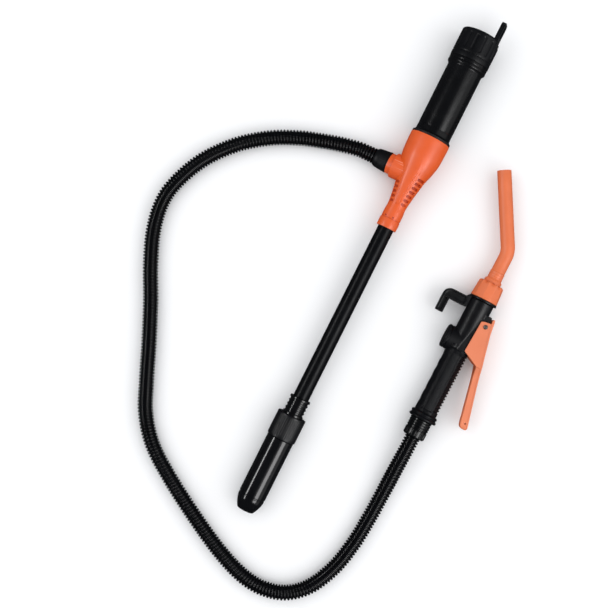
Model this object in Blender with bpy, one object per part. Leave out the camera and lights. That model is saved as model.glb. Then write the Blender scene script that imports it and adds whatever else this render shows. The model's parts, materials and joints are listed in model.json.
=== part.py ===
"""Battery fluid transfer pump: a long suction pump, its corrugated hose and a trigger nozzle.

The pump lies on the surface with its cap towards +Y and its inlet towards -Y. The nozzle lies
beside it on the +X side. Each of the two has its own frame, an empty on its long axis: local +Y
is the axis, a station is a distance back along it from the frame's origin, and local +X points
to the nozzle's lever side. Sizes are written in millimetres and become metres in the meshes.
"""
import math

import bmesh
import bpy
from mathutils import Matrix, Vector

MM = 0.001
GAP = 0.3                    # clearance between touching pieces
ROUND_LARGE = 24             # sides of the large turned pieces
ROUND = 20                   # sides of the other outer turned pieces
ROUND_SMALL = 12             # sides of the inner turned pieces
SMOOTH_ANGLE = math.radians(35)

# Driving sizes of the pump, stations measured from the cap's top rim towards the inlet.
CAP_R = 25.6
CAP_END = 37.1
TUBE_R = 22.8                # battery tube
TUBE_BORE_R = 18.0
TUBE_END = 152.0
CELL_R = 17.1                # two D cells in line
CELL_LENGTH = 61.5
CELL_STARTS = (15.0, 76.8)
HOUSING_TOP = 143.6
HOUSING_R = 25.75
HOUSING_FULL_END = 150.0
HOUSING_END = 267.5
HOUSING_WALL = 2.0
SPIGOT_STATION = 192.5
SPIGOT_R = 13.0
SPIGOT_END = 33.7
CUFF_END = 52.9
OUTLET_R = 7.2
SUCTION_R = 10.3
SUCTION_BORE_R = 8.6
COUPLING_TOP = 505.3
COLLAR_TOP = 529.3
COLLAR_END = 561.5
COLLAR_R = 18.75
CASING_R = 17.4
CASING_BORE_R = 15.9
INLET_END = 662.4
INLET_R = 10.8
MOTOR_R = 13.6
SHAFT_R = 1.3
CABLE_R = 1.8
LOOP_REACH = 24.5            # how far the hanging loop stands past the cap

# Driving sizes of the nozzle, stations measured from the front of its nut towards the hose.
REST_R = 18.3                # ring and flange that the nozzle lies on
BARREL_R = 15.5
BARREL_START = 25.3
BARREL_END = 92.4
NECK_R = 13.9
GRIP_R = 14.4
GRIP_END = 190.7
HOSE_NUT_END = 215.0
SPOUT_R = 8.9
SPOUT_BORE_R = 7.0
SPOUT_STRAIGHT = 45.0
SPOUT_REACH = 103.0
SPOUT_BEND = math.radians(30)
PIVOT_STATION = 52.0
PIVOT_OFFSET = 16.0
PIN_R = 2.0
VALVE_STATION = 83.0
CHAMBER_R = 7.2
LEVER_HALF = 14.2            # half width over the lever's cheeks
LEVER_ARM_HALF = 7.5         # half width of the lever's arm
LEVER_WALL = 2.0
FLAT_HALF = 11.8             # half width of the barrel between its two flats
PRESSER_X = 23.1             # where the lever bears on the valve's stem

HOSE_R = 9.9
HOSE_SPACING = 22.0          # distance between the points of the hose's centre line

# The two frames: the pump tilts a little, because it rests on its housing and on its collar,
# and it is rolled about its own axis, because the hose's weight turns the spigot down.
PUMP_TILT = math.atan((HOUSING_R - COLLAR_R) / (COLLAR_END - HOUSING_FULL_END))
PUMP_ROLL = math.radians(-12)
PUMP_ORIGIN = Vector((-76.55, 318.2,
                      HOUSING_R * math.cos(PUMP_TILT) + HOUSING_FULL_END * math.sin(PUMP_TILT)))
NOZZLE_YAW = math.radians(-0.785)
NOZZLE_ORIGIN = Vector((73.75, 47.2, REST_R))

# Centre line of the free hose, from the cuff on the pump to the nut on the nozzle.
HOSE_ROUTE = (
    (-128.97, 125.92, 13.87), (-140.2, 125.96, 11.48), (-152.0, 125.3, 10.1),
    (-174.86, 120.37, 10.0), (-200.06, 112.97, 10.0), (-226.19, 103.71, 10.0),
    (-258.56, 87.13, 10.0), (-291.55, 61.52, 10.0), (-320.22, 26.4, 10.0),
    (-337.77, -12.39, 10.0), (-343.1, -45.0, 10.0), (-336.75, -82.21, 10.0),
    (-320.34, -123.15, 10.0), (-300.82, -162.01, 10.0), (-280.0, -208.0, 10.0),
    (-260.27, -254.72, 10.0), (-242.63, -292.4, 10.0), (-216.46, -324.49, 10.0),
    (-176.08, -353.73, 10.0), (-124.61, -384.2, 10.0), (-78.37, -407.87, 10.0),
    (-40.32, -421.39, 10.0), (-9.91, -423.5, 10.0), (18.0, -415.0, 10.0),
    (40.69, -394.07, 10.0), (57.0, -360.0, 10.0), (65.17, -322.09, 10.0),
    (68.35, -285.06, 10.0), (69.72, -245.05, 10.8), (69.97, -214.02, 14.9),
    (70.53, -188.0, 18.2), (70.8, -168.3, 18.3),
)

# Finish of each kind of piece: colour, roughness, metallic.
FINISHES = {
    "satin_black": ((0.020, 0.022, 0.028), 0.50, 0.0),
    "gloss_black": ((0.012, 0.014, 0.018), 0.15, 0.0),
    "hose_black": ((0.015, 0.015, 0.016), 0.25, 0.0),
    "rubber": ((0.030, 0.030, 0.032), 0.75, 0.0),
    "orange": ((0.83, 0.12, 0.028), 0.35, 0.0),
    "nozzle_orange": ((0.83, 0.20, 0.075), 0.40, 0.0),
    "white_plastic": ((0.75, 0.75, 0.72), 0.45, 0.0),
    "steel": ((0.60, 0.61, 0.63), 0.28, 1.0),
    "brass": ((0.78, 0.57, 0.28), 0.30, 1.0),
    "cell_wrap": ((0.10, 0.13, 0.20), 0.40, 0.2),
}


# ---------------------------------------------------------------- making and joining meshes

def finish_material(name):
    """The Principled material of one finish, made once."""
    if name in bpy.data.materials:
        return bpy.data.materials[name]
    colour, roughness, metallic = FINISHES[name]
    material = bpy.data.materials.new(name)
    material.use_nodes = True
    shader = material.node_tree.nodes["Principled BSDF"]
    shader.inputs["Base Color"].default_value = (*colour, 1.0)
    shader.inputs["Roughness"].default_value = roughness
    shader.inputs["Metallic"].default_value = metallic
    return material


def solid(name, bm):
    """A mesh object at the world's origin from a bmesh in millimetres."""
    bmesh.ops.scale(bm, vec=(MM, MM, MM), verts=bm.verts)
    bmesh.ops.remove_doubles(bm, verts=bm.verts, dist=0.001 * MM)
    bmesh.ops.recalc_face_normals(bm, faces=bm.faces)
    mesh = bpy.data.meshes.new(name)
    bm.to_mesh(mesh)
    bm.free()
    obj = bpy.data.objects.new(name, mesh)
    bpy.context.scene.collection.objects.link(obj)
    return obj


def turned(name, outline, sides, axis_point=(0.0, 0.0), along="Y"):
    """A turned solid. The outline's points are (distance, radius) in order round the section.

    Along Y the distance is a station of the frame and the axis is the frame's own, moved to
    axis_point (x, z). Along X the distance is measured from the frame's axis towards -X, and
    axis_point is (station, z). Along Z the distance is z, and axis_point is (x, station).
    """
    bm = bmesh.new()
    verts = [bm.verts.new((radius, -distance, 0.0)) for distance, radius in outline]
    for first, second in zip(verts, verts[1:] + verts[:1]):
        if first.co.x > 0 or second.co.x > 0:
            bm.edges.new((first, second))
    bmesh.ops.spin(bm, geom=bm.verts[:] + bm.edges[:], cent=(0, 0, 0), axis=(0, 1, 0),
                   angle=math.tau, steps=sides, use_merge=True)
    a, b = axis_point
    place = {
        "Y": Matrix.Translation((a, 0, b)),
        "X": Matrix.Translation((0, -a, b)) @ Matrix.Rotation(-math.pi / 2, 4, "Z"),
        "Z": Matrix.Translation((a, -b, 0)) @ Matrix.Rotation(-math.pi / 2, 4, "X"),
    }[along]
    bmesh.ops.transform(bm, matrix=place, verts=bm.verts)
    return solid(name, bm)


def rod(name, start, end, radius, sides, axis_point=(0.0, 0.0), along="Y"):
    """A plain cylinder, placed as a turned solid is."""
    outline = [(start, 0), (start, radius), (end, radius), (end, 0)]
    return turned(name, outline, sides, axis_point, along)


def block(name, x, stations, z):
    """A box between two values of x, two stations and two values of z."""
    bm = bmesh.new()
    bmesh.ops.create_cube(bm, size=1.0)
    size = Vector((x[1] - x[0], stations[1] - stations[0], z[1] - z[0]))
    middle = Vector((x[0] + x[1], -stations[0] - stations[1], z[0] + z[1])) / 2
    bmesh.ops.scale(bm, vec=size, verts=bm.verts)
    bmesh.ops.translate(bm, vec=middle, verts=bm.verts)
    return solid(name, bm)


def prism(name, corners, half_width):
    """A side view's outline of (station, x) corners, extruded both ways from z = 0."""
    bm = bmesh.new()
    verts = [bm.verts.new((x, -station, -half_width)) for station, x in corners]
    face = bm.faces.new(verts)
    walls = bmesh.ops.extrude_face_region(bm, geom=[face])
    top = [item for item in walls["geom"] if isinstance(item, bmesh.types.BMVert)]
    bmesh.ops.translate(bm, vec=(0, 0, 2 * half_width), verts=top)
    return solid(name, bm)


def round_plate(name, x, y, half_width, corner_r, steps=5):
    """A plate across X from y[0] to y[1], with rounded corners."""
    bm = bmesh.new()
    verts = []
    middle = half_width - corner_r
    for end, side, first in ((1, 1, 0), (1, -1, 1), (-1, -1, 2), (-1, 1, 3)):
        for step in range(steps + 1):
            angle = math.pi / 2 * (first + step / steps)
            centre_y = y[1] - corner_r if end > 0 else y[0] + corner_r
            verts.append(bm.verts.new((x[0], centre_y + corner_r * math.sin(angle),
                                       side * middle + corner_r * math.cos(angle))))
    walls = bmesh.ops.extrude_face_region(bm, geom=[bm.faces.new(verts)])
    far = [item for item in walls["geom"] if isinstance(item, bmesh.types.BMVert)]
    bmesh.ops.translate(bm, vec=(x[1] - x[0], 0, 0), verts=far)
    return solid(name, bm)


def combine(body, tools, operation, solver):
    """Joins the tools to the body or cuts them from it, and removes them."""
    for tool in tools:
        modifier = body.modifiers.new(operation, "BOOLEAN")
        modifier.operation = operation
        modifier.solver = solver
        modifier.object = tool
    bpy.context.view_layer.update()
    evaluated = body.evaluated_get(bpy.context.evaluated_depsgraph_get())
    mesh = bpy.data.meshes.new_from_object(evaluated)
    body.modifiers.clear()
    bm = bmesh.new()
    bm.from_mesh(mesh)
    bmesh.ops.remove_doubles(bm, verts=bm.verts, dist=0.01 * MM)
    bmesh.ops.triangulate(bm, faces=bm.faces)
    bm.to_mesh(mesh)
    bm.free()
    body.data = mesh
    for tool in tools:
        bpy.data.objects.remove(tool)
    return body


def join(body, *tools, solver="EXACT"):
    return combine(body, tools, "UNION", solver)


def cut(body, *tools, solver="EXACT"):
    return combine(body, tools, "DIFFERENCE", solver)


def place(obj, frame, finish, origin=(0.0, 0.0, 0.0)):
    """Parents a piece to its frame with its own origin at (x, station, z) of that frame."""
    x, station, z = origin
    location = Vector((x, -station, z)) * MM
    if obj.type == "MESH":
        obj.data.transform(Matrix.Translation(-location))
        obj.data.shade_smooth()
        obj.data.set_sharp_from_angle(angle=SMOOTH_ANGLE)
        obj.location = location
    obj.data.materials.clear()
    obj.data.materials.append(finish_material(finish))
    obj.parent = frame
    return obj


def wire(name, points, radius, resolution):
    """A round wire, cable or hose: a curve through the points, with closed ends."""
    curve = bpy.data.curves.new(name, "CURVE")
    curve.dimensions = "3D"
    curve.bevel_depth = radius * MM
    curve.bevel_resolution = resolution
    curve.use_fill_caps = True
    spline = curve.splines.new("POLY")
    spline.points.add(len(points) - 1)
    for target, point in zip(spline.points, points):
        target.co = (*(Vector(point) * MM), 1.0)
    obj = bpy.data.objects.new(name, curve)
    bpy.context.scene.collection.objects.link(obj)
    return obj


def frame_empty(name, origin, turn):
    """An empty that carries the pieces of the pump or of the nozzle."""
    empty = bpy.data.objects.new(name, None)
    empty.matrix_world = Matrix.Translation(origin * MM) @ turn
    bpy.context.scene.collection.objects.link(empty)
    return empty


# ---------------------------------------------------------------- the pump head at the bottom

def pump_casing(frame):
    """Glossy tube round the motor, with the threaded neck above and the inlet nose below."""
    outer = [(539.6, 16.0), (561.8, 16.0), (561.8, CASING_R), (642.6, CASING_R), (643.2, 16.9),
             (644.2, 17.2), (650.0, 16.2), (657.0, 13.6), (661.2, 11.4), (INLET_END, INLET_R)]
    inner = [(INLET_END, 9.3), (657.5, 9.3), (657.5, 8.0), (655.0, 8.0), (653.0, 11.0),
             (646.0, 14.5), (642.0, CASING_BORE_R), (564.5, CASING_BORE_R), (562.3, 13.0),
             (539.6, 13.0)]
    place(turned("pump_casing", outer + inner, ROUND), frame, "gloss_black")


def inlet_strainer(frame):
    """Slotted disc in the nose's mouth."""
    disc = rod("inlet_strainer", 657.9, 662.1, 9.0, ROUND)
    slots = []
    for x, half_length in ((-5.4, 4.6), (-1.8, 6.8), (1.8, 6.8), (5.4, 4.6)):
        slots.append(block("slot", (x - 1.0, x + 1.0), (657.0, 663.0), (-half_length, half_length)))
    place(cut(disc, *slots), frame, "satin_black")


def impeller(frame):
    """Back disc, hub and six raked blades, a push fit on the shaft's end."""
    top, blade_end, radius = 630.3, 640.0, 13.0
    bore = SHAFT_R + GAP
    disc = turned("impeller", [(top, bore), (top, radius), (top + 1.8, radius), (top + 1.8, 4.0),
                               (blade_end, 4.0), (blade_end, bore)], ROUND)
    blades = []
    for index in range(6):
        blade = block("blade", (3.2, radius - 0.6), (top + 1.0, blade_end - 1.0), (-0.6, 0.6))
        blade.data.transform(Matrix.Rotation(math.tau * index / 6, 4, "Y"))
        blades.append(blade)
    place(join(disc, *blades), frame, "white_plastic", origin=(0, top, 0))


def motor_group(frame):
    """The motor in its dry can, with the shaft and the shaft's seal below it."""
    can_top, can_end = 566.0, 626.0
    can = turned("motor_can", [(can_top, 2.2), (can_top, 13.4), (can_top + 1, 14.4), (can_end, 14.4),
                               (can_end, 3.2), (623.5, 3.2), (623.5, 13.9), (568.0, 13.9),
                               (568.0, 2.2)], ROUND)
    fins = []
    for index in range(3):
        fin = block("fin", (14.0, CASING_BORE_R - GAP), (575.0, 615.0), (-0.8, 0.8))
        fin.data.transform(Matrix.Rotation(math.tau * (index + 0.25) / 3, 4, "Y"))
        fins.append(fin)
    place(join(can, *fins), frame, "white_plastic")

    body = turned("motor", [(568.4, 0), (568.4, 13.0), (569.0, MOTOR_R), (621.0, MOTOR_R),
                            (621.0, 5.0), (623.2, 5.0), (623.2, SHAFT_R + GAP),
                            (600.0, SHAFT_R + GAP), (600.0, 0)], ROUND_SMALL)
    place(body, frame, "steel")

    seal = turned("shaft_seal", [(623.6, SHAFT_R + GAP), (623.6, 2.9), (626.3, 2.9), (626.3, 5.5),
                                 (628.3, 5.5), (628.3, SHAFT_R + GAP)], ROUND_SMALL)
    place(seal, frame, "rubber")
    place(rod("motor_shaft", 600.4, 641.0, SHAFT_R, ROUND_SMALL), frame, "steel",
          origin=(0, 600.4, 0))


def suction_line(frame):
    """The collar nut, its gasket, the ringed coupling and the long suction tube."""
    collar = turned("casing_collar",
                    [(COLLAR_TOP, 18.2), (530.2, COLLAR_R), (560.9, COLLAR_R), (COLLAR_END, 18.3),
                     (COLLAR_END, 16.3), (533.3, 16.3), (533.3, 14.0), (COLLAR_TOP, 14.0)], ROUND)
    place(collar, frame, "satin_black")
    gasket = turned("casing_gasket", [(537.3, 10.0), (537.3, 15.9), (539.3, 15.9), (539.3, 10.0)],
                    ROUND_SMALL)
    place(gasket, frame, "rubber")

    ring, base, rib = 13.5, 12.0, 12.8
    outer = [(COUPLING_TOP, base), (505.8, ring), (508.4, ring), (508.9, base)]
    for start in (511.5, 516.5, 521.5):
        outer += [(start, base), (start + 0.4, rib), (start + 2.0, rib), (start + 2.4, base)]
    outer += [(527.0, 13.7), (533.6, 13.7), (533.6, 16.0), (537.0, 16.0)]
    inner = [(537.0, SUCTION_BORE_R), (512.0, SUCTION_BORE_R), (512.0, SUCTION_R + GAP),
             (COUPLING_TOP, SUCTION_R + GAP)]
    place(turned("tube_coupling", outer + inner, ROUND), frame, "gloss_black")

    start, end = 236.3, 511.7
    tube = turned("suction_tube", [(start, SUCTION_BORE_R), (start, SUCTION_R), (end, SUCTION_R),
                                   (end, SUCTION_BORE_R)], ROUND)
    place(tube, frame, "satin_black")
    stations = (152.6, 260.0, 400.0, 565.7)
    cable = wire("motor_cable", [(0, -station, 0) for station in stations], CABLE_R, 2)
    place(cable, frame, "rubber")


# ---------------------------------------------------------------- the orange housing

HOUSING_PROFILE = ((HOUSING_TOP, 25.4), (144.4, HOUSING_R), (HOUSING_FULL_END, HOUSING_R),
                   (160.0, 25.5), (171.0, 25.0), (182.0, 22.75), (196.0, 18.9), (209.5, 16.6),
                   (222.0, 14.5), (235.0, 12.6), (255.0, 12.6), (255.4, 12.9), (HOUSING_END, 12.9))
SCREWS = ((16.0, 158.0), (-16.0, 158.0), (-14.5, 176.0), (14.0, 190.0))    # (x, station)
SCREW_POST_R = 3.6
SCREW_HEAD_Z = -12.0         # where the screw's head is seated
SCREW_TIP_Z = 8.0


def housing_cavity():
    """The space inside the housing, with a post left standing at each screw."""
    inner = [(station, radius - HOUSING_WALL) for station, radius in HOUSING_PROFILE[3:9]]
    outline = ([(HOUSING_TOP - 1, 0), (HOUSING_TOP - 1, 22.6), (TUBE_END + GAP, 22.6),
                (TUBE_END + GAP, 20.5), (154.3, 20.5), (154.3, 23.5)] + inner
               + [(236.0, SUCTION_R + GAP), (HOUSING_END + 1, SUCTION_R + GAP),
                  (HOUSING_END + 1, 0)])
    posts = [rod("post", -HOUSING_R, HOUSING_R, SCREW_POST_R, 12, spot, "Z") for spot in SCREWS]
    return cut(turned("cavity", outline, ROUND), *posts)


def housing_halves(frame):
    """Front and rear shells that part on the plane through the pump's and the spigot's axes."""
    for name, side in (("housing_front", 1), ("housing_rear", -1)):
        shell = turned(name, [(HOUSING_TOP, 0)] + list(HOUSING_PROFILE) + [(HOUSING_END, 0)],
                       ROUND_LARGE)
        boss = turned("boss", [(4.0, 0), (4.0, 16.0), (26.0, 16.0), (26.7, 15.3), (26.7, SPIGOT_R),
                               (SPIGOT_END, SPIGOT_R), (SPIGOT_END, 0)], ROUND,
                      (SPIGOT_STATION, 0), "X")
        join(shell, boss)
        bore = rod("bore", 3.0, SPIGOT_END + 1, OUTLET_R + 0.4, ROUND, (SPIGOT_STATION, 0), "X")
        holes = [housing_cavity(), bore]
        for spot in SCREWS:
            holes.append(rod("hole", SCREW_HEAD_Z - 1, SCREW_TIP_Z + GAP, 1.7, 12, spot, "Z"))
            holes.append(rod("recess", -HOUSING_R - 1, SCREW_HEAD_Z, 3.0, 12, spot, "Z"))
        z = sorted((side * GAP / 2, -side * 40.0))
        cut(shell, *holes, block("half", (-60, 60), (130, 280), z), solver="MANIFOLD")
        place(shell, frame, "orange")


def housing_screws(frame):
    """Self-tapping screws that hold the rear shell to the front shell."""
    head, shank = 2.6, 1.4
    seat = SCREW_HEAD_Z - GAP
    for index, (x, station) in enumerate(SCREWS, start=1):
        outline = [(seat - 2.2, 0), (seat - 2.2, head - 0.5), (seat - 1.7, head), (seat, head),
                   (seat, shank), (SCREW_TIP_Z - 1.5, shank), (SCREW_TIP_Z, 0)]
        screw = turned(f"housing_screw_{index}", outline, 12, (x, station), "Z")
        place(screw, frame, "steel", origin=(x, station, seat))


def outlet_parts(frame):
    """The T-shaped manifold between the suction tube and the hose, and the cable's grommet."""
    barrel = rod("outlet_manifold", 180.0, 235.0, 10.0, ROUND_SMALL)
    nipple = rod("nipple", 234.0, 247.0, 8.2, ROUND_SMALL)
    outlet = rod("outlet", 2.0, 47.0, OUTLET_R, ROUND_SMALL, (SPIGOT_STATION, 0), "X")
    join(barrel, nipple, outlet)
    bore = turned("bore", [(179.0, 0), (179.0, 3.6), (184.0, 3.6), (184.0, 6.4), (248.0, 6.4),
                           (248.0, 0)], ROUND_SMALL)
    branch = rod("branch", 0.0, 48.0, 5.4, ROUND_SMALL, (SPIGOT_STATION, 0), "X")
    place(cut(barrel, bore, branch, solver="MANIFOLD"), frame, "white_plastic")
    grommet = turned("cable_grommet", [(178.2, 2.1), (178.2, 5.2), (179.7, 5.2), (179.7, 3.3),
                                       (183.5, 3.3), (183.5, 2.1)], 12)
    place(grommet, frame, "rubber")
    cuff = turned("hose_cuff", [(SPIGOT_END + GAP, 13.2), (34.2, 13.5), (48.3, 12.1),
                                (CUFF_END, 10.2), (CUFF_END, 7.6), (SPIGOT_END + GAP, 7.6)],
                  ROUND, (SPIGOT_STATION, 0), "X")
    place(cuff, frame, "rubber")


# ---------------------------------------------------------------- the battery end

def coil(start, end, radii, turns, steps, centre, along):
    """Points of a helix between two distances along an axis, its radius running between radii."""
    points = []
    for index in range(turns * steps + 1):
        share = index / (turns * steps)
        angle = math.tau * turns * share
        distance = start + (end - start) * share
        radius = radii[0] + (radii[1] - radii[0]) * share
        a = radius * math.cos(angle)
        b = radius * math.sin(angle)
        if along == "Y":
            points.append((centre[0] + a, -distance, centre[1] + b))
        else:
            points.append((-distance, -centre[0] + a, centre[1] + b))
    return points


def battery_parts(frame):
    """The tube, its two cells, the contacts and the spring under the lower cell."""
    tube = turned("battery_tube",
                  [(14.0, 21.0), (14.5, 21.4), (37.4, 21.4), (37.4, 25.2), (45.0, 25.2),
                   (48.0, TUBE_R), (139.0, TUBE_R), (140.2, 24.0), (140.2, 22.3), (TUBE_END, 22.3),
                   (TUBE_END, 3.0), (149.5, 3.0), (149.5, TUBE_BORE_R), (14.0, TUBE_BORE_R)],
                  ROUND_LARGE)
    place(tube, frame, "gloss_black")
    ring = turned("tube_seal_ring", [(140.5, 22.7), (140.5, 25.1), (141.1, CAP_R), (142.7, CAP_R),
                                     (143.3, 25.1), (143.3, 22.7)], ROUND_LARGE)
    place(ring, frame, "rubber")
    for index, start in enumerate(CELL_STARTS, start=1):
        end = start + CELL_LENGTH
        outline = [(start, 0), (start, 4.75), (start + 1.5, 4.75), (start + 1.5, 16.3),
                   (start + 2.3, CELL_R), (end - 0.8, CELL_R), (end, 16.3), (end, 0)]
        place(turned(f"battery_cell_{index}", outline, ROUND_SMALL), frame, "cell_wrap")
    wire_r = 0.7
    spring = wire("battery_spring",
                  coil(138.3 + GAP + wire_r, 148.4 - GAP - wire_r, (6.5, 12.0), 4, 9, (0, 0), "Y"),
                  wire_r, 0)
    place(spring, frame, "steel")
    lower = turned("lower_contact", [(148.4, 2.4), (148.4, 16.0), (149.2, 16.0), (149.2, 2.4)],
                   ROUND_SMALL)
    place(lower, frame, "brass")


def cap_parts(frame):
    """The screw cap with its hanging loop, the contacts it carries, its seal and the switch."""
    profile = [(0.0, 24.2), (1.6, CAP_R), (29.5, CAP_R), (30.6, CAP_R), (CAP_END, CAP_R),
               (CAP_END, 24.0), (34.2, 24.0), (34.2, 21.9), (10.0, 21.9), (10.0, 9.8), (2.6, 9.8),
               (2.6, 6.3), (0.0, 6.3)]
    cap = turned("battery_cap", profile, ROUND_LARGE)
    groove_depth = 0.8
    for vertex in cap.data.vertices:
        station = -vertex.co.y / MM
        radius = math.hypot(vertex.co.x, vertex.co.z) / MM
        index = round(math.atan2(vertex.co.z, vertex.co.x) / math.tau * ROUND_LARGE)
        if station < 30 and radius > 24 and index % 2:
            vertex.co.x *= 1 - groove_depth / radius
            vertex.co.z *= 1 - groove_depth / radius
    cut(cap, block("notch", (16.4, 30.0), (-1.0, 7.7), (-10.8, 10.8)))
    place(cap, frame, "satin_black", origin=(0, CAP_END, 0))

    loop = round_plate("hanging_loop", (16.7, 21.9), (-30.0, LOOP_REACH), 10.5, 4.5)
    cut(loop, round_plate("eye", (10.0, 30.0), (4.5, LOOP_REACH - 5.0), 5.5, 5.4),
        block("below", (0.0, 40.0), (7.4, 60.0), (-20.0, 20.0)))
    place(loop, frame, "satin_black", origin=(0, CAP_END, 0))

    carrier = turned("contact_carrier", [(10.3, 3.0), (10.3, 21.5), (13.7, 21.5), (13.7, 3.0)],
                     ROUND)
    place(carrier, frame, "white_plastic")
    upper = turned("upper_contact", [(14.0, 2.0), (14.0, 12.0), (14.7, 12.0), (14.7, 2.0)],
                   ROUND_SMALL)
    place(upper, frame, "brass")
    seal = turned("cap_seal", [(34.6, 21.8), (34.6, 23.2), (35.2, 23.7), (36.5, 23.7), (37.1, 23.2),
                               (37.1, 21.8)], ROUND)
    place(seal, frame, "rubber")
    place(block("switch_body", (-6.0, 6.0), (7.0, 9.7), (-6.0, 6.0)), frame, "rubber")
    button = turned("power_button", [(-1.8, 0), (-1.8, 5.2), (-1.0, 6.0), (2.9, 6.0), (2.9, 8.5),
                                     (3.9, 8.5), (3.9, 2.0), (5.2, 2.0), (5.2, 0)], ROUND)
    place(button, frame, "rubber")


# ---------------------------------------------------------------- the trigger nozzle

def nozzle_body(frame):
    """Barrel with the threaded neck, the valve boss, the lever's lug and the tail in the grip."""
    body = turned("nozzle_body",
                  [(8.0, 0), (8.0, NECK_R), (BARREL_START, NECK_R), (BARREL_START, BARREL_R),
                   (BARREL_END, BARREL_R), (BARREL_END, 10.2), (186.0, 10.2), (186.0, 8.0),
                   (203.0, 8.0), (203.0, 0)], ROUND)
    boss = rod("boss", 5.0, 19.0, BARREL_R, ROUND, (VALVE_STATION, 0), "X")
    lug = block("lug", (8.0, 19.0), (38.0, 58.0), (-FLAT_HALF, FLAT_HALF))
    join(body, boss, lug)
    flats = [block("flat", (-3.5, 30.0), (43.5, BARREL_END + 1), sorted((side * FLAT_HALF, side * 20)))
             for side in (1, -1)]
    chamber = rod("chamber", -12.5, 20.0, CHAMBER_R, ROUND_SMALL, (VALVE_STATION, 0), "X")
    stem_hole = rod("stem_hole", -17.0, -12.0, 2.4, 12, (VALVE_STATION, 0), "X")
    pin_hole = rod("pin_hole", -15.0, 15.0, PIN_R + GAP, 12, (PIVOT_OFFSET, PIVOT_STATION), "Z")
    bore = rod("bore", 7.0, 204.0, 5.5, ROUND_SMALL)
    cut(body, *flats, chamber, stem_hole, pin_hole, bore, solver="MANIFOLD")
    place(body, frame, "satin_black")


def grip_and_nut(frame):
    """Hand grip with the end flange that the nozzle lies on, and the hose's nut behind it."""
    grip = turned("handle_grip",
                  [(BARREL_END + GAP, GRIP_R), (180.8, GRIP_R), (182.4, REST_R), (189.8, REST_R),
                   (GRIP_END, 17.4), (GRIP_END, 10.5), (BARREL_END + GAP, 10.5)], ROUND)
    reliefs = [block("relief", (2.0, 20.0), (90.0, 99.0), sorted((side * FLAT_HALF, side * 20)))
               for side in (1, -1)]
    saddle = rod("saddle", 4.7, 20.0, BARREL_R + GAP, ROUND, (VALVE_STATION, 0), "X")
    cut(grip, *reliefs, saddle)
    place(grip, frame, "satin_black")
    start = GRIP_END + GAP
    nut = turned("hose_nut",
                 [(start, 13.4), (192.0, 14.2), (202.5, 14.2), (203.2, 13.3), (204.6, 13.3),
                  (205.3, 14.2), (213.6, 14.2), (HOSE_NUT_END, 12.8), (HOSE_NUT_END, 8.4),
                  (start, 8.4)], ROUND)
    place(nut, frame, "satin_black")


def hook_bracket(frame):
    """Rest hook: a ring clamped behind the spout's nut, with an arm and a finger."""
    ring = turned("hook_bracket", [(22.4, NECK_R + GAP), (22.4, REST_R), (25.0, REST_R),
                                   (25.0, NECK_R + GAP)], ROUND)
    corner, corner_r = (36.2, -40.2), 9.0
    arc = [(corner[0] - corner_r * math.cos(angle), corner[1] - corner_r * math.sin(angle))
           for angle in (math.pi / 2 * step / 4 for step in range(5))]
    arm = prism("arm", [(22.5, -15.9), (22.5, -17.8), (27.2, -21.5)] + arc
                + [(59.6, -49.2), (59.6, -39.3), (40.2, -39.3), (40.2, -15.9)], 6.0)
    place(join(ring, arm), frame, "satin_black")


def valve_parts(frame):
    """Spool with its stem under the lever, the spring that lifts it and the cap below."""
    cap = turned("valve_cap", [(15.0, 6.0), (15.0, 6.8), (19.3, 6.8), (19.3, BARREL_R),
                               (22.4, BARREL_R), (23.6, 14.3), (23.6, 0), (21.6, 0), (21.6, 6.0)],
                 ROUND, (VALVE_STATION, 0), "X")
    place(cap, frame, "satin_black")
    stem = PRESSER_X - 0.4
    spool = turned("valve_spool", [(-stem, 0), (-stem, 2.0), (-12.2, 2.0), (-12.2, 6.8),
                                   (-11.0, 6.8), (-11.0, 2.5), (-5.8, 2.5), (-5.8, 6.8),
                                   (6.2, 6.8), (6.2, 0)], ROUND_SMALL, (VALVE_STATION, 0), "X")
    place(spool, frame, "brass", origin=(0, VALVE_STATION, 0))
    wire_r = 0.6
    spring = wire("valve_spring",
                  coil(6.2 + GAP + wire_r, 21.6 - GAP - wire_r, (4.6, 4.6), 5, 9,
                       (VALVE_STATION, 0), "X"), wire_r, 0)
    place(spring, frame, "steel")


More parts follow.
